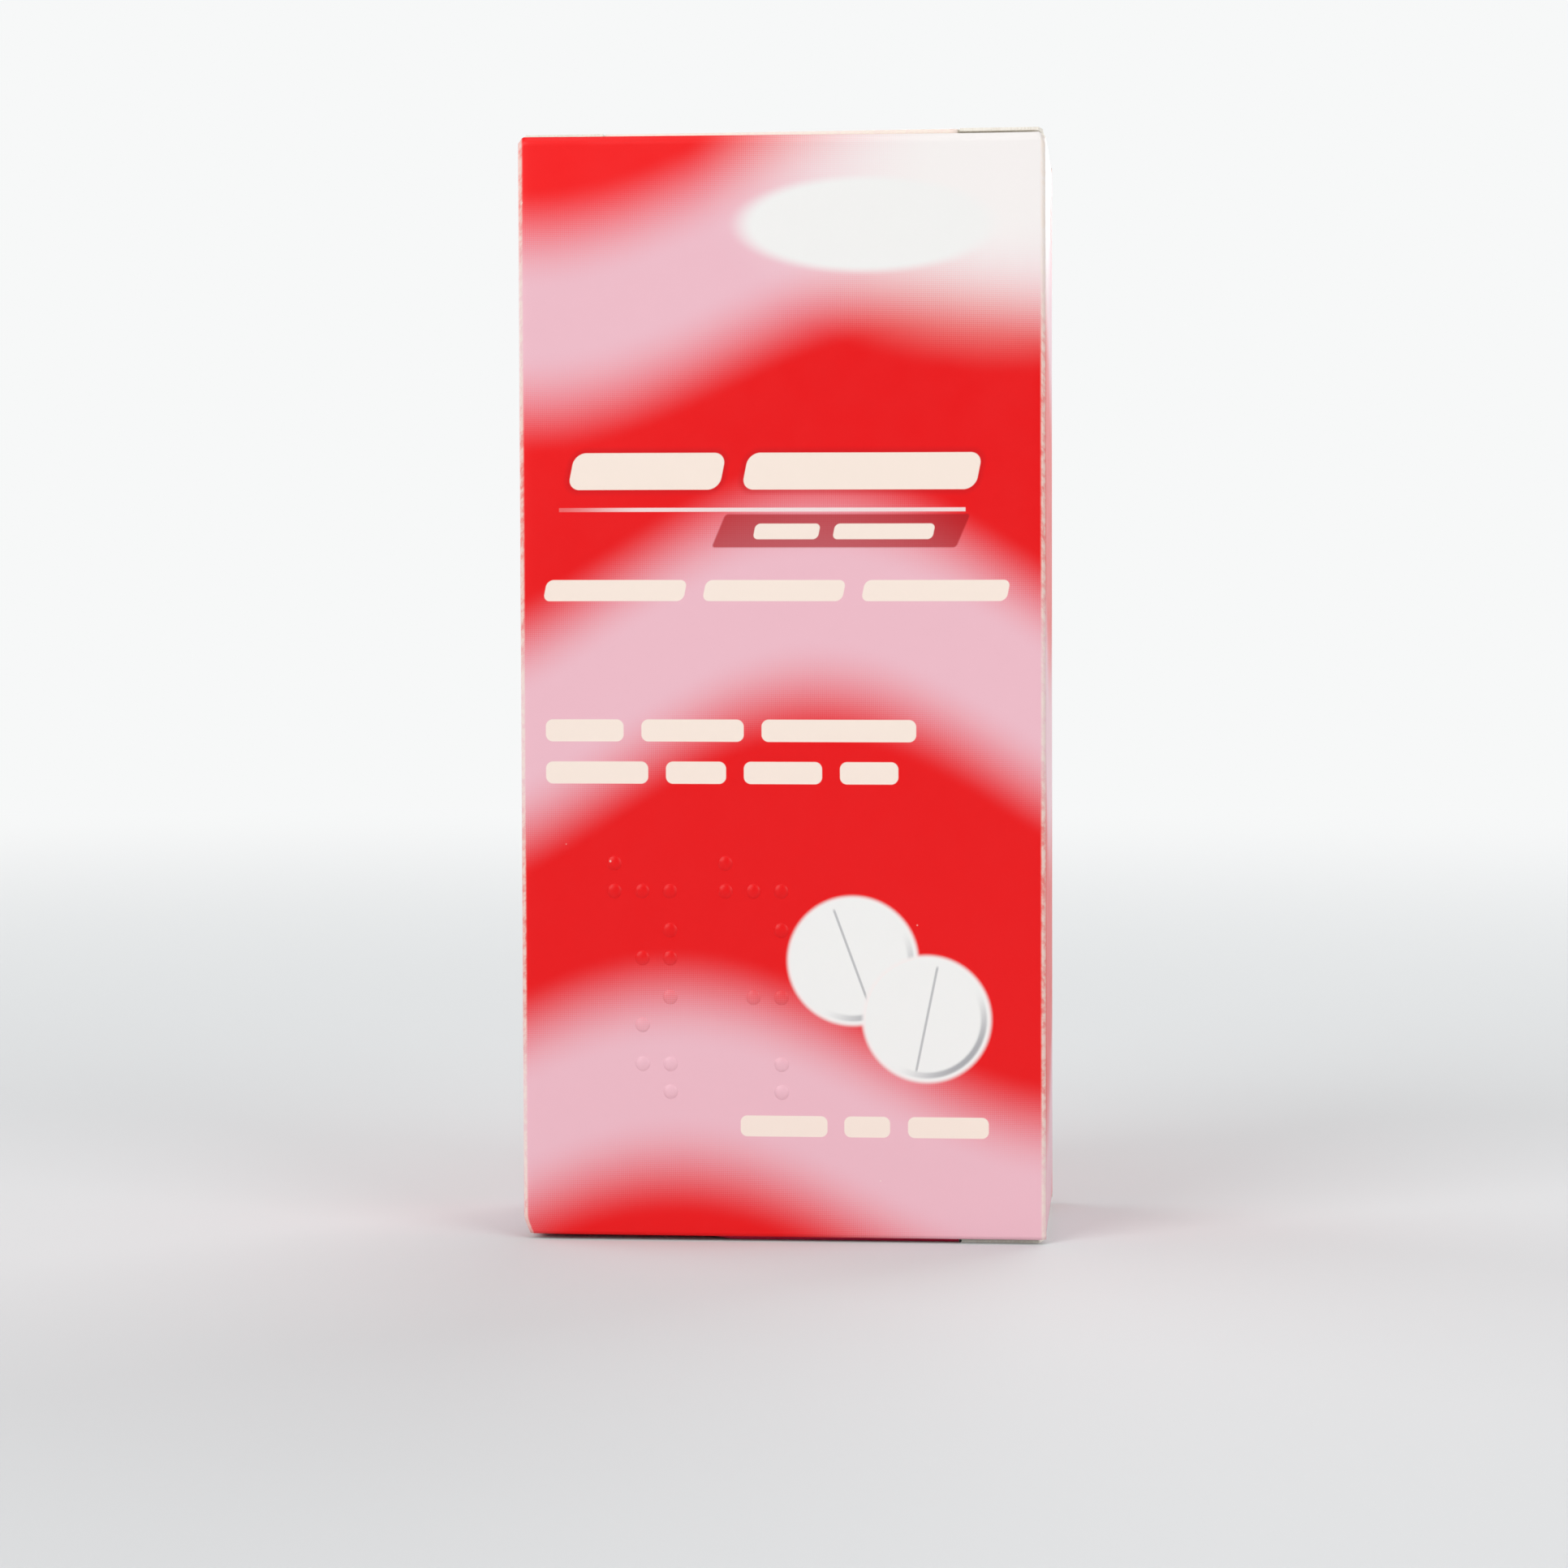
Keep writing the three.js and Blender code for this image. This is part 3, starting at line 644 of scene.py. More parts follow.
def printed_look(name, front):
    """The coated and printed side of the board."""
    material, tree, shader = new_material(name, 0.34)
    place = print_place(tree)
    parts = add_node(tree, "ShaderNodeSeparateXYZ")
    tree.links.new(place, parts.inputs[0])
    u, v = parts.outputs[0], parts.outputs[1]
    tone = halftone(tree, place, band_tone(tree, u, v))
    # Painted highlight: the red is drawn lighter towards the upper left.
    red = mixed(tree, ramp(tree, calc(tree, "SUBTRACT", v, u), PAINTED_HIGHLIGHT_FROM, PAINTED_HIGHLIGHT_FULL), RED, RED_PAINTED_HIGHLIGHT)
    colour = mixed(tree, tone, red, PINK)
    x, z, wide, tall = GLOW
    glow = vector_sum(tree, "LENGTH", vector_sum(
        tree, "MULTIPLY", vector_sum(tree, "SUBTRACT", place, (x, z, 0)), (1 / wide, 1 / tall, 0)))
    glow_tone = halftone(tree, place, ramp(tree, glow, GLOW_EDGE, GLOW_CORE))
    colour = mixed(tree, glow_tone, colour, PALE)
    if front:
        colour = front_print(tree, place, colour)
    else:
        colour = mixed(tree, ramp(tree, v, *BASE_INK), colour, CRIMSON)
        past_top = calc(tree, "SUBTRACT", v, HEIGHT / MM)
        colour = mixed(tree, ramp(tree, past_top, *TOP_INK), colour, PINK)
    scuff = noise(tree, place, SCUFF_SCALE, 6, 0.7)
    upright_folds = calc(tree, "SUBTRACT", calc(tree, "ABSOLUTE", u), (FRONT_FLAT + FOLD_LENGTH / 2) / MM)
    tuck_crease = calc(tree, "SUBTRACT", v, (HEIGHT + TUCK_CREASE) / MM)
    for fold, half, least, most in ((upright_folds, 0.4, 0.3, 0.8), (tuck_crease, 0.8, 0.8, 1.0)):
        near = ramp(tree, calc(tree, "ABSOLUTE", fold), half, 0.4 * half)
        rub = calc(tree, "MULTIPLY", near, ramp(tree, scuff, 0.34, 0.6, least, most))
        colour = mixed(tree, rub, colour, WORN)
    specks = add_node(tree, "ShaderNodeTexVoronoi", feature="F1")
    specks.inputs["Scale"].default_value = SPECK_SCALE
    tree.links.new(place, specks.inputs["Vector"])
    speck = ramp(tree, specks.outputs["Distance"], 0.030, 0.014)
    chosen = add_node(tree, "ShaderNodeSeparateColor")
    tree.links.new(specks.outputs["Color"], chosen.inputs[0])
    speck = calc(tree, "MULTIPLY", speck, calc(tree, "GREATER_THAN", chosen.outputs[0], 1 - SPECK_SHARE))
    colour = mixed(tree, calc(tree, "MULTIPLY", speck, SPECK_STRENGTH), colour, CREAM)
    tree.links.new(colour, shader.inputs["Base Color"])
    gloss = noise(tree, place, GLOSS_SCALE, 4)
    tree.links.new(ramp(tree, gloss, 0.3, 0.7, 0.32, 0.37), shader.inputs["Roughness"])
    bumpy(tree, shader, noise(tree, place, GRAIN_SCALE, 3), 0.05)
    shader.inputs["Specular IOR Level"].default_value = PRINT_SHINE
    return material


FIBRE_SCALE = (5200, 5200, 1700)
CLOUD_SCALE = 260


def fibre_look(name, colour, flecks):
    """Bare board: short grey and cream fibres pressed flat."""
    material, tree, shader = new_material(name, 0.9)
    spot = add_node(tree, "ShaderNodeTexCoord").outputs["Object"]
    stretch = add_node(tree, "ShaderNodeMapping")
    stretch.inputs["Scale"].default_value = FIBRE_SCALE
    tree.links.new(spot, stretch.inputs["Vector"])
    fibre = noise(tree, stretch.outputs[0], 1.0, 5, 0.65)
    cloud = noise(tree, spot, CLOUD_SCALE, 3)
    shade = mixed(tree, ramp(tree, fibre, 0.3, 0.6, 0.35, 1.0), flecks, colour)
    shade = mixed(tree, ramp(tree, cloud, 0.3, 0.7, 0.0, 0.2), shade, flecks)
    tree.links.new(shade, shader.inputs["Base Color"])
    bumpy(tree, shader, fibre, 0.15, 0.03 * MM)
    return material


front_look = printed_look("printed_front", True)
wrap_look = printed_look("printed_board", False)
bare_look = fibre_look("bare_board", ink(226, 221, 210), ink(196, 190, 178))
edge_look = fibre_look("cut_edge", ink(248, 244, 235), ink(230, 221, 207))

sleeve = finish_sheet("sleeve", sleeve_sheet, [wrap_look, bare_look, edge_look, front_look])
for polygon in sleeve.data.polygons:
    if polygon.material_index == 0 and polygon.center.y < -BACK + FOLD:
        polygon.material_index = 3
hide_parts("carton_sleeve")
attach(sleeve, "carton")

# The closures
# Each end is closed by a lid that hinges on the back panel and carries a tuck flap, slid down behind
# the front panel. Both are the same sheet of board as the sleeve, and bent strips of it join them at
# the creases. A slit at each end of the front crease leaves the lid's corners flat, to lock it.
joints = {joint["name"]: joint for joint in frame["record"]["behaviour"]["joints"]}
TUCK_LEAN = math.radians(6)
TUCK_LENGTH = 12 * MM
TUCK_CORNER = 5 * MM
TUCK_HALF = HALF_WIDTH - 1.05 * MM
LID_HALF = lid_high[0]
CREASE_Y = joints["top_tuck_crease"]["pos_m"][1]
CREASE_SPAN = 0.45 * MM
SLIT_START = 15.9 * MM
SLIT_GAP = 0.2 * MM
SLIT_CRUSH = 0.4
SLIT_WIDTH = 0.02 * MM
LID_TAB = 0.9 * BOARD
CREASE_INNER = 0.04 * BOARD
LID_CORNER = 0.35 * MM
TOP_SAG = 0.04 * MM
BASE_LIFT = 0.4 * MM
BASE_STEP = -4.4 * MM
BASE_STEP_RAMP = 3 * MM


def closure_point(end, x, y, down):
    """A point of a closure at rest, from its depth below the outer face. The top fold sags to the
    left, and the bottom one is pressed up to the left of its middle."""
    near = ease((BACK - y) / (2 * BACK))
    if end == "top":
        sag = TOP_SAG * near * (1 - ease(x / (2 * HALF_WIDTH) + 0.5))
        return handled((x, y, HEIGHT - down - sag))
    lift = BASE_LIFT * near * near * ease((BASE_STEP - x) / BASE_STEP_RAMP)
    return handled((x, y, down + lift))


def lid_place(end):
    def place(s, t, depth):
        cut_free = LID_HALF * abs(s) > SLIT_START
        front = CREASE_Y - LID_TAB if cut_free else CREASE_Y + CREASE_SPAN
        y = BACK - FOLD + (front - BACK + FOLD) * t
        thick = BOARD * (1 - SLIT_CRUSH * (t == 1 and cut_free))
        half = LID_HALF - LID_CORNER * (t == 1)
        x = s * LID_HALF if abs(s) < 1 else s * half
        return closure_point(end, x, y, thick * depth)
    return place


def hinge_place(end):
    def place(s, t, depth):
        angle = math.pi / 2 * t
        radius = FOLD - BOARD * depth
        y = BACK - FOLD + radius * math.cos(angle)
        down = FOLD - radius * math.sin(angle)
        return closure_point(end, (FRONT_FLAT + (LID_HALF - FRONT_FLAT) * t) * s, y, down)
    return place


def crease_place(end):
    def place(s, t, depth):
        turned = min(max(3 * t - 1, 0), 1)
        angle = (math.pi / 2 + TUCK_LEAN) * turned
        radius = BOARD + (CREASE_INNER - BOARD) * depth
        before, after = CREASE_SPAN * max(1 - 3 * t, 0), CREASE_SPAN * max(3 * t - 2, 0)
        half = SLIT_START - SLIT_GAP
        y = CREASE_Y + before - radius * math.sin(angle) + after * math.sin(TUCK_LEAN)
        down = BOARD - radius * math.cos(angle) + after * math.cos(TUCK_LEAN)
        return closure_point(end, half * s, y, down)
    return place


def tuck_place(end):
    def place(s, t, depth):
        start = SLIT_GAP if TUCK_HALF * abs(s) > SLIT_START else CREASE_SPAN
        run = start + (TUCK_LENGTH - start) * t
        corner = max(0.0, run - (TUCK_LENGTH - TUCK_CORNER))
        half = TUCK_HALF - TUCK_CORNER + math.sqrt(max(0.0, TUCK_CORNER ** 2 - corner ** 2))
        y = CREASE_Y + run * math.sin(TUCK_LEAN) - BOARD * math.cos(TUCK_LEAN) * (1 - depth)
        down = BOARD + run * math.cos(TUCK_LEAN) + BOARD * math.sin(TUCK_LEAN) * (1 - depth)
        return closure_point(end, half * s, y, down)
    return place


def closure_lay(end, start, length):
    """The closures' print runs on from the back panel's."""
    def lay(s, t):
        run = start + t * length
        return (AROUND / 2 - s * HALF_WIDTH, HEIGHT + run if end == "top" else -run)
    return lay


LID_RUN = BACK - FOLD - CREASE_Y - CREASE_SPAN
CREASE_RUN = 2 * CREASE_SPAN + BOARD * (math.pi / 2 + TUCK_LEAN)
ACROSS = steps_between(-1, 1, 48)
LID_ACROSS, TUCK_ACROSS = [
    sorted(ACROSS + [side * (SLIT_START + step) / half for side in (-1, 1) for step in (0, SLIT_WIDTH)])
    for half in (LID_HALF, TUCK_HALF)]
TUCK_ROWS = steps_between(0, 0.6, 6) + steps_between(0.6, 1, 16)[1:]
for end in ("top", "bottom"):
    made = {}
    start = 0
    for name, place, length, columns, rows in (
            ("hinge_fold", hinge_place(end), FOLD_LENGTH, ACROSS, steps_between(0, 1, 8)),
            ("lid", lid_place(end), LID_RUN, LID_ACROSS, steps_between(0, 1, 16)),
            ("tuck_fold", crease_place(end), CREASE_RUN, ACROSS, steps_between(0, 1, 15)),
            ("tuck_flap", tuck_place(end), TUCK_LENGTH, TUCK_ACROSS, TUCK_ROWS)):
        sheet = bmesh.new()
        board_sheet(sheet, columns, rows, place, closure_lay(end, start, length))
        start += length
        made[name] = finish_sheet(f"{end}_{name}_board", sheet, [wrap_look, bare_look, edge_look])
    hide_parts(f"{end}_lid")
    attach(made["lid"], f"{end}_closure")
    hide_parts(f"{end}_tuck_flap")
    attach(made["tuck_flap"], f"{end}_tuck")
    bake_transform(made["hinge_fold"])
    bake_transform(made["tuck_fold"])


# The braille
# Low domes pressed out of the front panel's board and print, turned a quarter round so that they read
# down its height. They are standard sizes: 2.5 mm between dots, 6 mm from cell to cell and 10 mm from
# line to line. They say nothing but the plain numbers 123 and 456.
def geometry_tree(name, inputs, build):
    """A Geometry Nodes tree with named inputs. build adds its nodes and gives what comes out."""
    tree = bpy.data.node_groups.new(name, "GeometryNodeTree")
    tree.interface.new_socket("Geometry", in_out="INPUT", socket_type="NodeSocketGeometry")
    tree.interface.new_socket("Geometry", in_out="OUTPUT", socket_type="NodeSocketGeometry")
    for label, kind in inputs:
        tree.interface.new_socket(label, in_out="INPUT", socket_type=kind)
    given = add_node(tree, "NodeGroupInput").outputs
    made = build(tree, given)
    real = add_node(tree, "GeometryNodeRealizeInstances")
    paint = add_node(tree, "GeometryNodeSetMaterial")
    tree.links.new(made, real.inputs["Geometry"])
    tree.links.new(real.outputs["Geometry"], paint.inputs["Geometry"])
    tree.links.new(given["Material"], paint.inputs["Material"])
    tree.links.new(paint.outputs["Geometry"], add_node(tree, "NodeGroupOutput").inputs["Geometry"])
    return tree


def grown(name, start_mesh, tree, values):
    """The plain piece that a Geometry Nodes tree makes of a start mesh."""
    starter = bpy.data.objects.new(name + "_start", start_mesh)
    bpy.context.scene.collection.objects.link(starter)
    modifier = starter.modifiers.new("nodes", "NODES")
    modifier.node_group = tree
    for item in tree.interface.items_tree:
        if item.in_out == "INPUT" and item.name in values:
            modifier[item.identifier] = values[item.name]
    evaluated = starter.evaluated_get(bpy.context.evaluated_depsgraph_get())
    mesh = bpy.data.meshes.new_from_object(evaluated)
    starter.modifiers.clear()
    bpy.data.objects.remove(starter)
    mesh.name = name
    piece = bpy.data.objects.new(name, mesh)
    bpy.context.scene.collection.objects.link(piece)
    return piece


DOT_PITCH = 2.5 * MM
CELL_PITCH = 6.0 * MM
LINE_PITCH = 10.0 * MM
DOT_RADIUS = 0.74 * MM
DOT_RISE = 0.16 * MM
DOT_SINK = 0.12 * MM
BRAILLE_LEFT = -15.1 * MM
BRAILLE_TOP = 33.9 * MM
NUMBER_SIGN = (3, 4, 5, 6)
BRAILLE_LINES = [[NUMBER_SIGN, (1,), (1, 2), (1, 4)], [NUMBER_SIGN, (1, 4, 5), (1, 5), (1, 2, 4)]]

dots = []
for line, cells in enumerate(BRAILLE_LINES):
    for cell, raised in enumerate(cells):
        for dot in raised:
            row, column = (dot - 1) % 3, (dot - 1) // 3
            x = BRAILLE_LEFT + (1 - line) * LINE_PITCH + (2 - row) * DOT_PITCH
            z = BRAILLE_TOP - cell * CELL_PITCH - column * DOT_PITCH
            dots.append((x, -BACK + hollow(x, z) + DOT_SINK, z))
dot_places = bpy.data.meshes.new("braille_places")
dot_places.from_pydata(dots, [], [])


def braille_dots(tree, given):
    ball = add_node(tree, "GeometryNodeMeshUVSphere")
    ball.inputs["Segments"].default_value = 24
    ball.inputs["Rings"].default_value = 16
    size = add_node(tree, "ShaderNodeCombineXYZ")
    for axis, label in enumerate(("Dot Radius", "Dot Depth", "Dot Radius")):
        tree.links.new(given[label], size.inputs[axis])
    flatten = add_node(tree, "GeometryNodeTransform")
    tree.links.new(ball.outputs["Mesh"], flatten.inputs["Geometry"])
    tree.links.new(size.outputs[0], flatten.inputs["Scale"])
    smooth = add_node(tree, "GeometryNodeSetShadeSmooth")
    tree.links.new(flatten.outputs["Geometry"], smooth.inputs["Geometry"])
    spread = add_node(tree, "GeometryNodeInstanceOnPoints")
    tree.links.new(given["Geometry"], spread.inputs["Points"])
    tree.links.new(smooth.outputs["Geometry"], spread.inputs["Instance"])
    return spread.outputs["Instances"]


emboss = geometry_tree("braille_dots", [
    ("Dot Radius", "NodeSocketFloat"), ("Dot Depth", "NodeSocketFloat"), ("Material", "NodeSocketMaterial")],
    braille_dots)
braille = grown("braille", dot_places, emboss, {
    "Dot Radius": DOT_RADIUS, "Dot Depth": DOT_RISE + DOT_SINK, "Material": front_look})
dot_map = braille.data.uv_layers.new(name="print")
for loop in braille.data.loops:
    spot = braille.data.vertices[loop.vertex_index].co
    dot_map.data[loop.index].uv = (spot.x, spot.z)
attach(braille, "carton")

# The tablets
# Round, of white powder pressed hard: a plain band between two low domes with a small bevelled rim,
# and a score across the dome that faces the pocket. Each lies turned any way in its pocket.
STRIPS = 4
IN_A_STRIP = 8
TABLET_STEPS = 64
SCORE_HALF = 0.6 * MM
SCORE_DEPTH = 0.6 * MM
DOME_POWER = 1.2
POWDER_SCALE = 5200


def ring_points(radius, steps):
    angles = [2 * math.pi * i / steps for i in range(steps)]
    return [(radius * math.cos(a), radius * math.sin(a)) for a in angles]


def turned_shell(profile, steps):
    """A bmesh turned round Z from radii and heights that start and end on the axis."""
    shell = bmesh.new()
    rings = []
    for radius, height in profile:
        if radius == 0:
            rings.append([shell.verts.new((0, 0, height))] * steps)
            continue
        rings.append([shell.verts.new((x, y, height)) for x, y in ring_points(radius, steps)])
    for lower, upper in zip(rings, rings[1:]):
        for i in range(steps):
            corners = [lower[i], lower[(i + 1) % steps], upper[(i + 1) % steps], upper[i]]
            shell.faces.new(list(dict.fromkeys(corners)))
    for face in shell.faces:
        face.smooth = True
    return shell


tablet_low, tablet_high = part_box("tablet_1_1")
TABLET_RADIUS = (tablet_high.z - tablet_low.z) / 2
TABLET_HALF = 2.1 * MM
BAND_HALF = 1.15 * MM
BEVEL = 0.3 * MM
DOME_STEPS = 8

dome_edge = TABLET_RADIUS - BEVEL
dome_rise = TABLET_HALF - BAND_HALF - BEVEL
dome = [(dome_edge * math.sin(math.pi / 2 * i / DOME_STEPS),
         BAND_HALF + BEVEL + dome_rise * math.cos(math.pi / 2 * i / DOME_STEPS) ** DOME_POWER)
        for i in range(DOME_STEPS)] + [(dome_edge, BAND_HALF + BEVEL), (TABLET_RADIUS, BAND_HALF)]
tablet_shell = turned_shell([(r, -z) for r, z in dome] + dome[::-1], TABLET_STEPS)
for cut in (-SCORE_HALF, 0, SCORE_HALF):
    whole = tablet_shell.verts[:] + tablet_shell.edges[:] + tablet_shell.faces[:]
    bmesh.ops.bisect_plane(tablet_shell, geom=whole, plane_co=(cut, 0, 0), plane_no=(1, 0, 0))
for vert in tablet_shell.verts:
    if vert.co.z > 0 and abs(vert.co.x) < SCORE_HALF:
        score_height = TABLET_HALF - SCORE_DEPTH * (1 - abs(vert.co.x) / SCORE_HALF)
        vert.co.z = min(vert.co.z, score_height)
bmesh.ops.rotate(tablet_shell, verts=tablet_shell.verts, matrix=Matrix.Rotation(math.pi / 2, 3, "X"))
bmesh.ops.recalc_face_normals(tablet_shell, faces=tablet_shell.faces)
tablet_mesh = bpy.data.meshes.new("one_tablet")
tablet_shell.to_mesh(tablet_mesh)
tablet_shell.free()
one_tablet = bpy.data.objects.new("one_tablet", tablet_mesh)
bpy.context.scene.collection.objects.link(one_tablet)

tablet_look, tablet_tree, tablet_shader = new_material("tablet_powder", 0.85)
tablet_spot = add_node(tablet_tree, "ShaderNodeTexCoord").outputs["Object"]
powder = noise(tablet_tree, tablet_spot, POWDER_SCALE, 4, 0.7)
tablet_tree.links.new(
    mixed(tablet_tree, ramp(tablet_tree, powder, 0.3, 0.7), ink(230, 228, 222), ink(245, 244, 240)),
    tablet_shader.inputs["Base Color"])
bumpy(tablet_tree, tablet_shader, powder, 0.2)


def tablets_in_pockets(tree, given):
    shape = add_node(tree, "GeometryNodeObjectInfo")
    tree.links.new(given["Tablet"], shape.inputs["Object"])
    turn_by = add_node(tree, "FunctionNodeRandomValue", data_type="FLOAT_VECTOR")
    turn_by.inputs[1].default_value = (0, 2 * math.pi, 0)
    tree.links.new(given["Seed"], turn_by.inputs["Seed"])
    spread = add_node(tree, "GeometryNodeInstanceOnPoints")
    tree.links.new(given["Geometry"], spread.inputs["Points"])
    tree.links.new(shape.outputs["Geometry"], spread.inputs["Instance"])
    tree.links.new(turn_by.outputs[0], spread.inputs["Rotation"])
    return spread.outputs["Instances"]


tablet_lay = geometry_tree("tablets_in_pockets", [
    ("Tablet", "NodeSocketObject"), ("Seed", "NodeSocketInt"), ("Material", "NodeSocketMaterial")],
    tablets_in_pockets)


def tablet_places(strip):
    boxes = [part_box(f"tablet_{strip}_{number}") for number in range(1, IN_A_STRIP + 1)]
    return [(low + high) / 2 for low, high in boxes]


for strip in range(1, STRIPS + 1):
    places = bpy.data.meshes.new("pocket_places")
    places.from_pydata(tablet_places(strip), [], [])
    tablets = grown(f"tablets_{strip}", places, tablet_lay, {
        "Tablet": one_tablet, "Seed": strip, "Material": tablet_look})
    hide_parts(*(f"tablet_{strip}_{number}" for number in range(1, IN_A_STRIP + 1)))
    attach(tablets, "carton")
bpy.data.objects.remove(one_tablet)

# The blister films
# Clear stiff plastic, warmed and drawn into two rows of four pockets, so that its walls lean and all
# its bends are round. The flat land between the pockets is sealed to the foil.
FILM = 0.25 * MM
FILM_ALPHA = 0.22
FILM_WAVE_SCALE = 300
SEAL_GAP = 0.05 * MM
WELD = 0.005 * MM
POCKET_STEPS = 48
POCKET_MOUTH = TABLET_RADIUS + 0.9 * MM
POCKET_LEAN = 0.4 * MM
LAND_BEND = 0.55 * MM
ROOF_BEND = 0.8 * MM
BEND_STEPS = 5
STRIP_CORNER = 3 * MM
CORNER_STEPS = 8
film_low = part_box("blister_film_1")[0]
foil_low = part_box("blister_foil_1")[0]
SHEET_FACE = foil_low.y - SEAL_GAP - FILM
POCKET_RISE = SHEET_FACE - film_low.y
HOLE = POCKET_MOUTH + LAND_BEND


def pocket_profile(shrink):
    """Radii and heights of a pocket, from the land to its roof, for the outside or the inside."""
    points = []
    for i in range(BEND_STEPS + 1):
        angle = math.pi / 2 * i / BEND_STEPS
        points.append((HOLE - (LAND_BEND + shrink) * math.sin(angle),
                       (LAND_BEND + shrink) * (1 - math.cos(angle)) - shrink))
    for i in range(BEND_STEPS + 1):
        angle = math.pi / 2 * i / BEND_STEPS
        points.append((POCKET_MOUTH - POCKET_LEAN - ROOF_BEND + (ROOF_BEND - shrink) * math.cos(angle),
                       POCKET_RISE - ROOF_BEND + (ROOF_BEND - shrink) * math.sin(angle)))
    return points + [(0, POCKET_RISE - shrink)]


def strip_outline(low, high):
    """The round-cornered edge of a strip in its own plane."""
    points = []
    corners = ((high.x, low.z), (high.x, high.z), (low.x, high.z), (low.x, low.z))
    for (x, z), start in zip(corners, (-90, 0, 90, 180)):
        middle_x = x - math.copysign(STRIP_CORNER, x)
        middle_z = z + (STRIP_CORNER if z == low.z else -STRIP_CORNER)
        for i in range(CORNER_STEPS + 1):
            angle = math.radians(start + 90 * i / CORNER_STEPS)
            points.append((middle_x + STRIP_CORNER * math.cos(angle),
                           middle_z + STRIP_CORNER * math.sin(angle)))
    return points


def flat_sheet(name, loops, near, far):
    """A flat sheet between two depths. Its first loop of (x, z) bounds it, and the rest are holes."""
    plate = bmesh.new()
    for y in (near, far):
        edges = []
        for points in loops:
            verts = [plate.verts.new((x, y, z)) for x, z in points]
            edges += [plate.edges.new(pair) for pair in zip(verts, verts[1:] + verts[:1])]
        bmesh.ops.triangle_fill(plate, edges=edges, use_beauty=True)
    plate.verts.ensure_lookup_table()
    count = len(loops[0])
    shift = sum(len(points) for points in loops)
    for i in range(count):
        j = (i + 1) % count
        plate.faces.new([plate.verts[k] for k in (i, j, j + shift, i + shift)])
    bmesh.ops.recalc_face_normals(plate, faces=plate.faces)
    mesh = bpy.data.meshes.new(name)
    plate.to_mesh(mesh)
    plate.free()
    return mesh


pocket_shell = turned_shell(pocket_profile(0), POCKET_STEPS)
inner_shell = turned_shell(pocket_profile(FILM), POCKET_STEPS)
bmesh.ops.reverse_faces(inner_shell, faces=inner_shell.faces)
pocket_mesh = bpy.data.meshes.new("pocket")
for shell in (pocket_shell, inner_shell):
    bmesh.ops.rotate(shell, verts=shell.verts, matrix=Matrix.Rotation(math.pi / 2, 3, "X"))
inner_mesh = bpy.data.meshes.new("pocket_inside")
inner_shell.to_mesh(inner_mesh)
pocket_shell.from_mesh(inner_mesh)
pocket_shell.to_mesh(pocket_mesh)
pocket_shell.free()
inner_shell.free()
one_pocket = bpy.data.objects.new("one_pocket", pocket_mesh)
bpy.context.scene.collection.objects.link(one_pocket)

film_look, film_tree, film_shader = new_material("clear_film", 0.08, ink(238, 243, 246))
film_shader.inputs["Alpha"].default_value = FILM_ALPHA
film_spot = add_node(film_tree, "ShaderNodeTexCoord").outputs["Object"]
bumpy(film_tree, film_shader, noise(film_tree, film_spot, FILM_WAVE_SCALE, 2), 0.15)


def pockets_in_sheet(tree, given):
    shape = add_node(tree, "GeometryNodeObjectInfo")
    tree.links.new(given["Pocket"], shape.inputs["Object"])
    spread = add_node(tree, "GeometryNodeInstanceOnPoints")
    tree.links.new(given["Geometry"], spread.inputs["Points"])
    tree.links.new(shape.outputs["Geometry"], spread.inputs["Instance"])
    sheet_shape = add_node(tree, "GeometryNodeObjectInfo")
    tree.links.new(given["Sheet"], sheet_shape.inputs["Object"])
    join = add_node(tree, "GeometryNodeJoinGeometry")
    tree.links.new(sheet_shape.outputs["Geometry"], join.inputs["Geometry"])
    tree.links.new(spread.outputs["Instances"], join.inputs["Geometry"])
    real = add_node(tree, "GeometryNodeRealizeInstances")
    tree.links.new(join.outputs["Geometry"], real.inputs["Geometry"])
    weld = add_node(tree, "GeometryNodeMergeByDistance")
    tree.links.new(real.outputs["Geometry"], weld.inputs["Geometry"])
    tree.links.new(given["Weld Distance"], weld.inputs["Distance"])
    return weld.outputs["Geometry"]


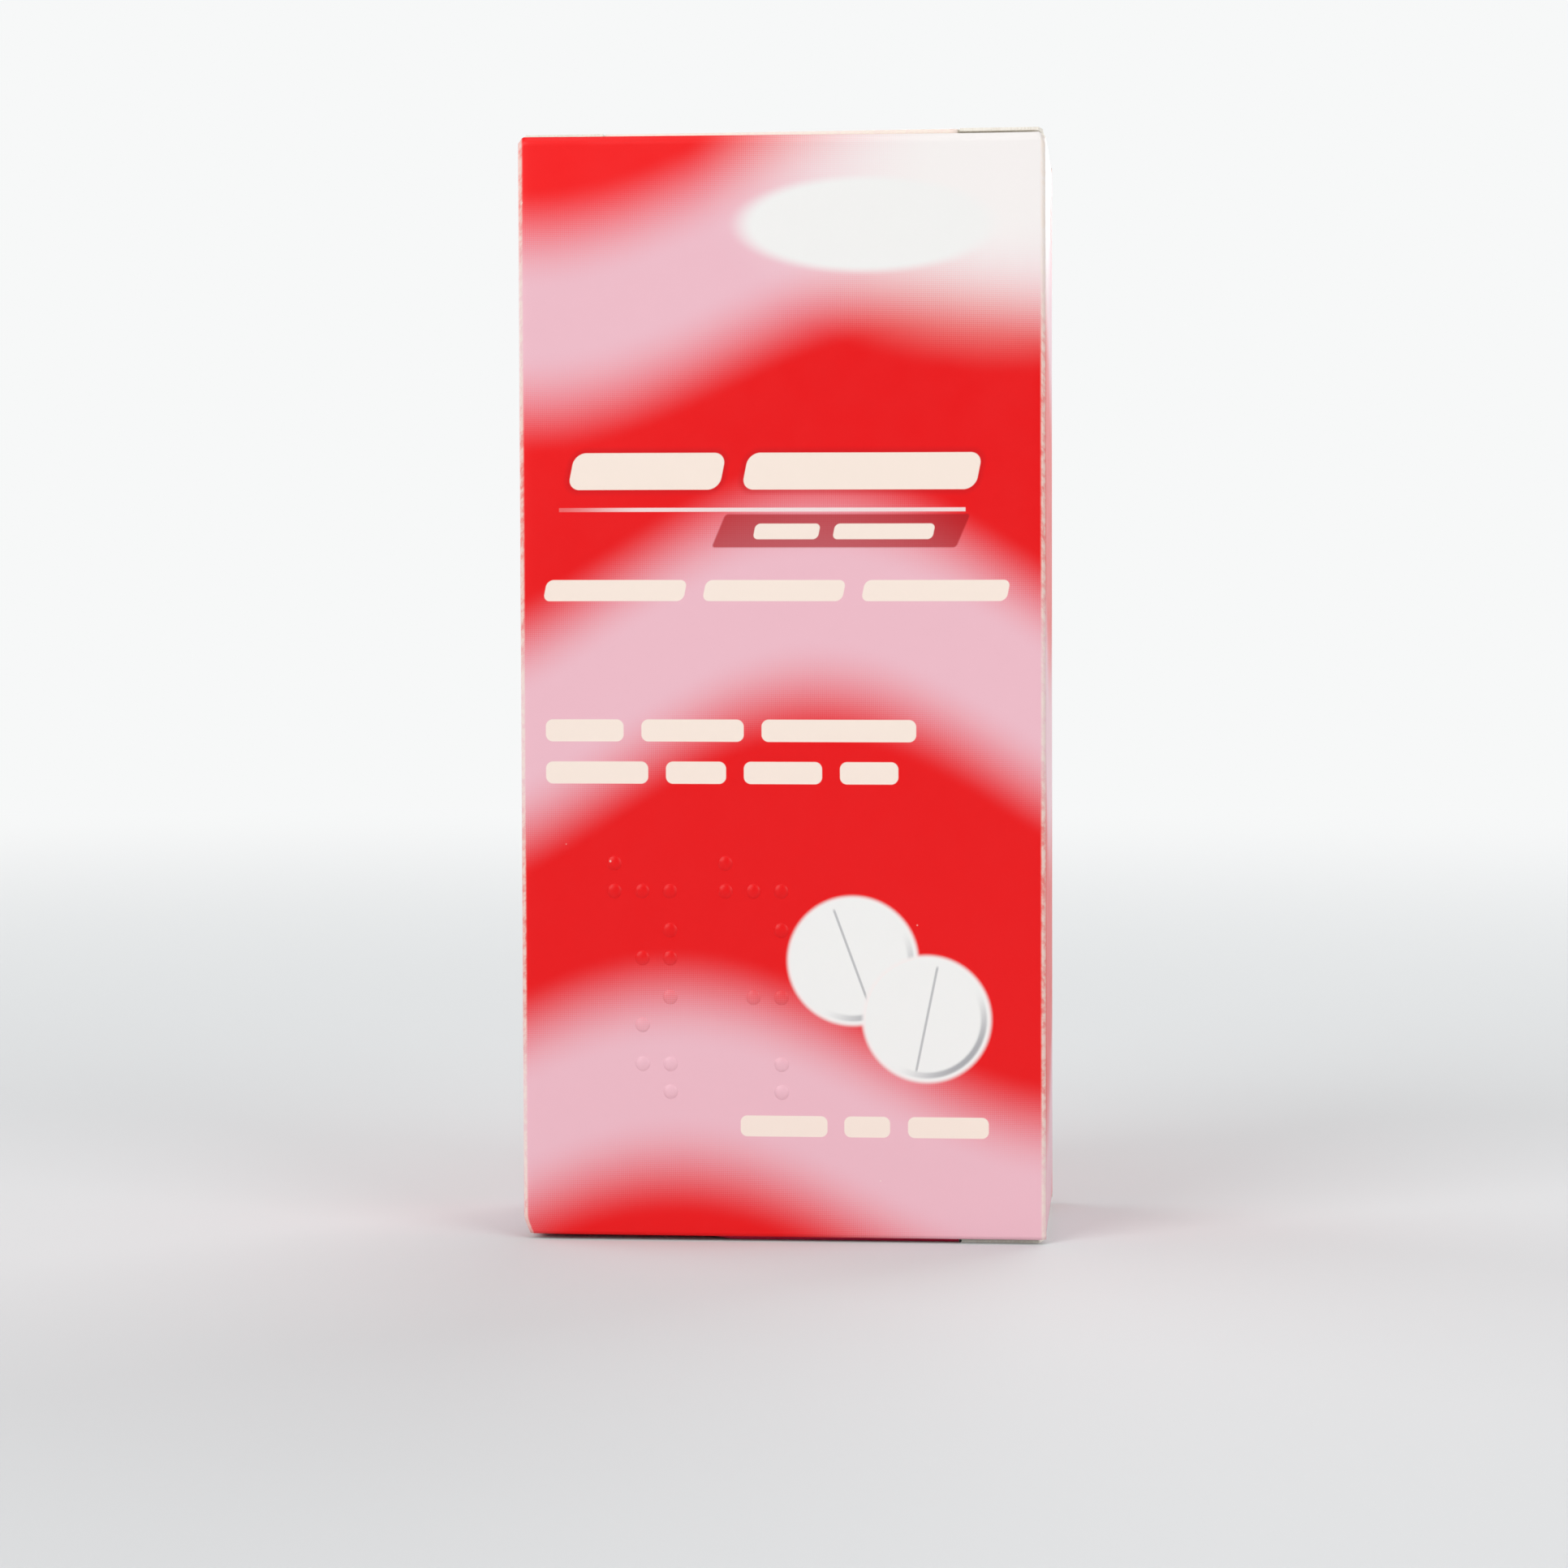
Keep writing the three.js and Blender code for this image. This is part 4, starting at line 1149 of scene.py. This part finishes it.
film_draw = geometry_tree("pockets_in_sheet", [
    ("Pocket", "NodeSocketObject"), ("Sheet", "NodeSocketObject"), ("Weld Distance", "NodeSocketFloat"),
    ("Material", "NodeSocketMaterial")], pockets_in_sheet)
for strip in range(1, STRIPS + 1):
    low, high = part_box(f"blister_foil_{strip}")
    face = low.y + SHEET_FACE - foil_low.y
    loops = [strip_outline(low, high)]
    centres = tablet_places(strip)
    for spot in centres:
        loops.append([(spot.x + x, spot.z + z) for x, z in ring_points(HOLE, POCKET_STEPS)])
    land = bpy.data.objects.new("land", flat_sheet("land", loops, face, face + FILM))
    bpy.context.scene.collection.objects.link(land)
    places = bpy.data.meshes.new("pocket_places")
    places.from_pydata([(spot.x, face, spot.z) for spot in centres], [], [])
    film = grown(f"film_{strip}", places, film_draw, {
        "Pocket": one_pocket, "Sheet": land, "Weld Distance": WELD, "Material": film_look})
    bpy.data.objects.remove(land)
    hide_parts(f"blister_film_{strip}")
    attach(film, "carton")
bpy.data.objects.remove(one_pocket)

# The lidding foils
# Thin soft aluminium, sealed over the open side of each film by a hot plate whose fine diamond grid is
# left pressed into it.
FOIL_GRID = 1.1 * MM
foil_look, foil_tree, foil_shader = new_material("lidding_foil", 0.32, ink(205, 207, 210), 1.0)
foil_spot = add_node(foil_tree, "ShaderNodeTexCoord").outputs["Object"]
foil_parts = add_node(foil_tree, "ShaderNodeSeparateXYZ")
foil_tree.links.new(foil_spot, foil_parts.inputs[0])
ridges = []
for way in ("ADD", "SUBTRACT"):
    run = calc(foil_tree, way, foil_parts.outputs[0], foil_parts.outputs[2])
    ridges.append(calc(foil_tree, "SINE", calc(foil_tree, "MULTIPLY", run, 2 * math.pi / FOIL_GRID)))
bumpy(foil_tree, foil_shader, calc(foil_tree, "MULTIPLY", *ridges), 0.4)
for strip in range(1, STRIPS + 1):
    low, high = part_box(f"blister_foil_{strip}")
    foil_mesh = flat_sheet("foil", [strip_outline(low, high)], low.y, high.y)
    foil = bpy.data.objects.new(f"foil_{strip}", foil_mesh)
    foil.data.materials.append(foil_look)
    bpy.context.scene.collection.objects.link(foil)
    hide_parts(f"blister_foil_{strip}")
    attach(foil, "carton")

# The leaflet
# One sheet of thin uncoated paper, folded to and fro into six layers and stood behind the strips. It
# is loose in the carton, and it is left unprinted.
PAPER_SCALE = 1800
leaflet_look, leaflet_tree, leaflet_shader = new_material("leaflet_paper", 0.88)
leaflet_spot = add_node(leaflet_tree, "ShaderNodeTexCoord").outputs["Object"]
paper = noise(leaflet_tree, leaflet_spot, PAPER_SCALE, 5, 0.6)
leaflet_tree.links.new(
    mixed(leaflet_tree, ramp(leaflet_tree, paper, 0.3, 0.7), ink(234, 232, 226), ink(245, 244, 239)),
    leaflet_shader.inputs["Base Color"])
leaflet = frame["nodes"]["leaflet"]
leaflet.data.materials.clear()
leaflet.data.materials.append(leaflet_look)
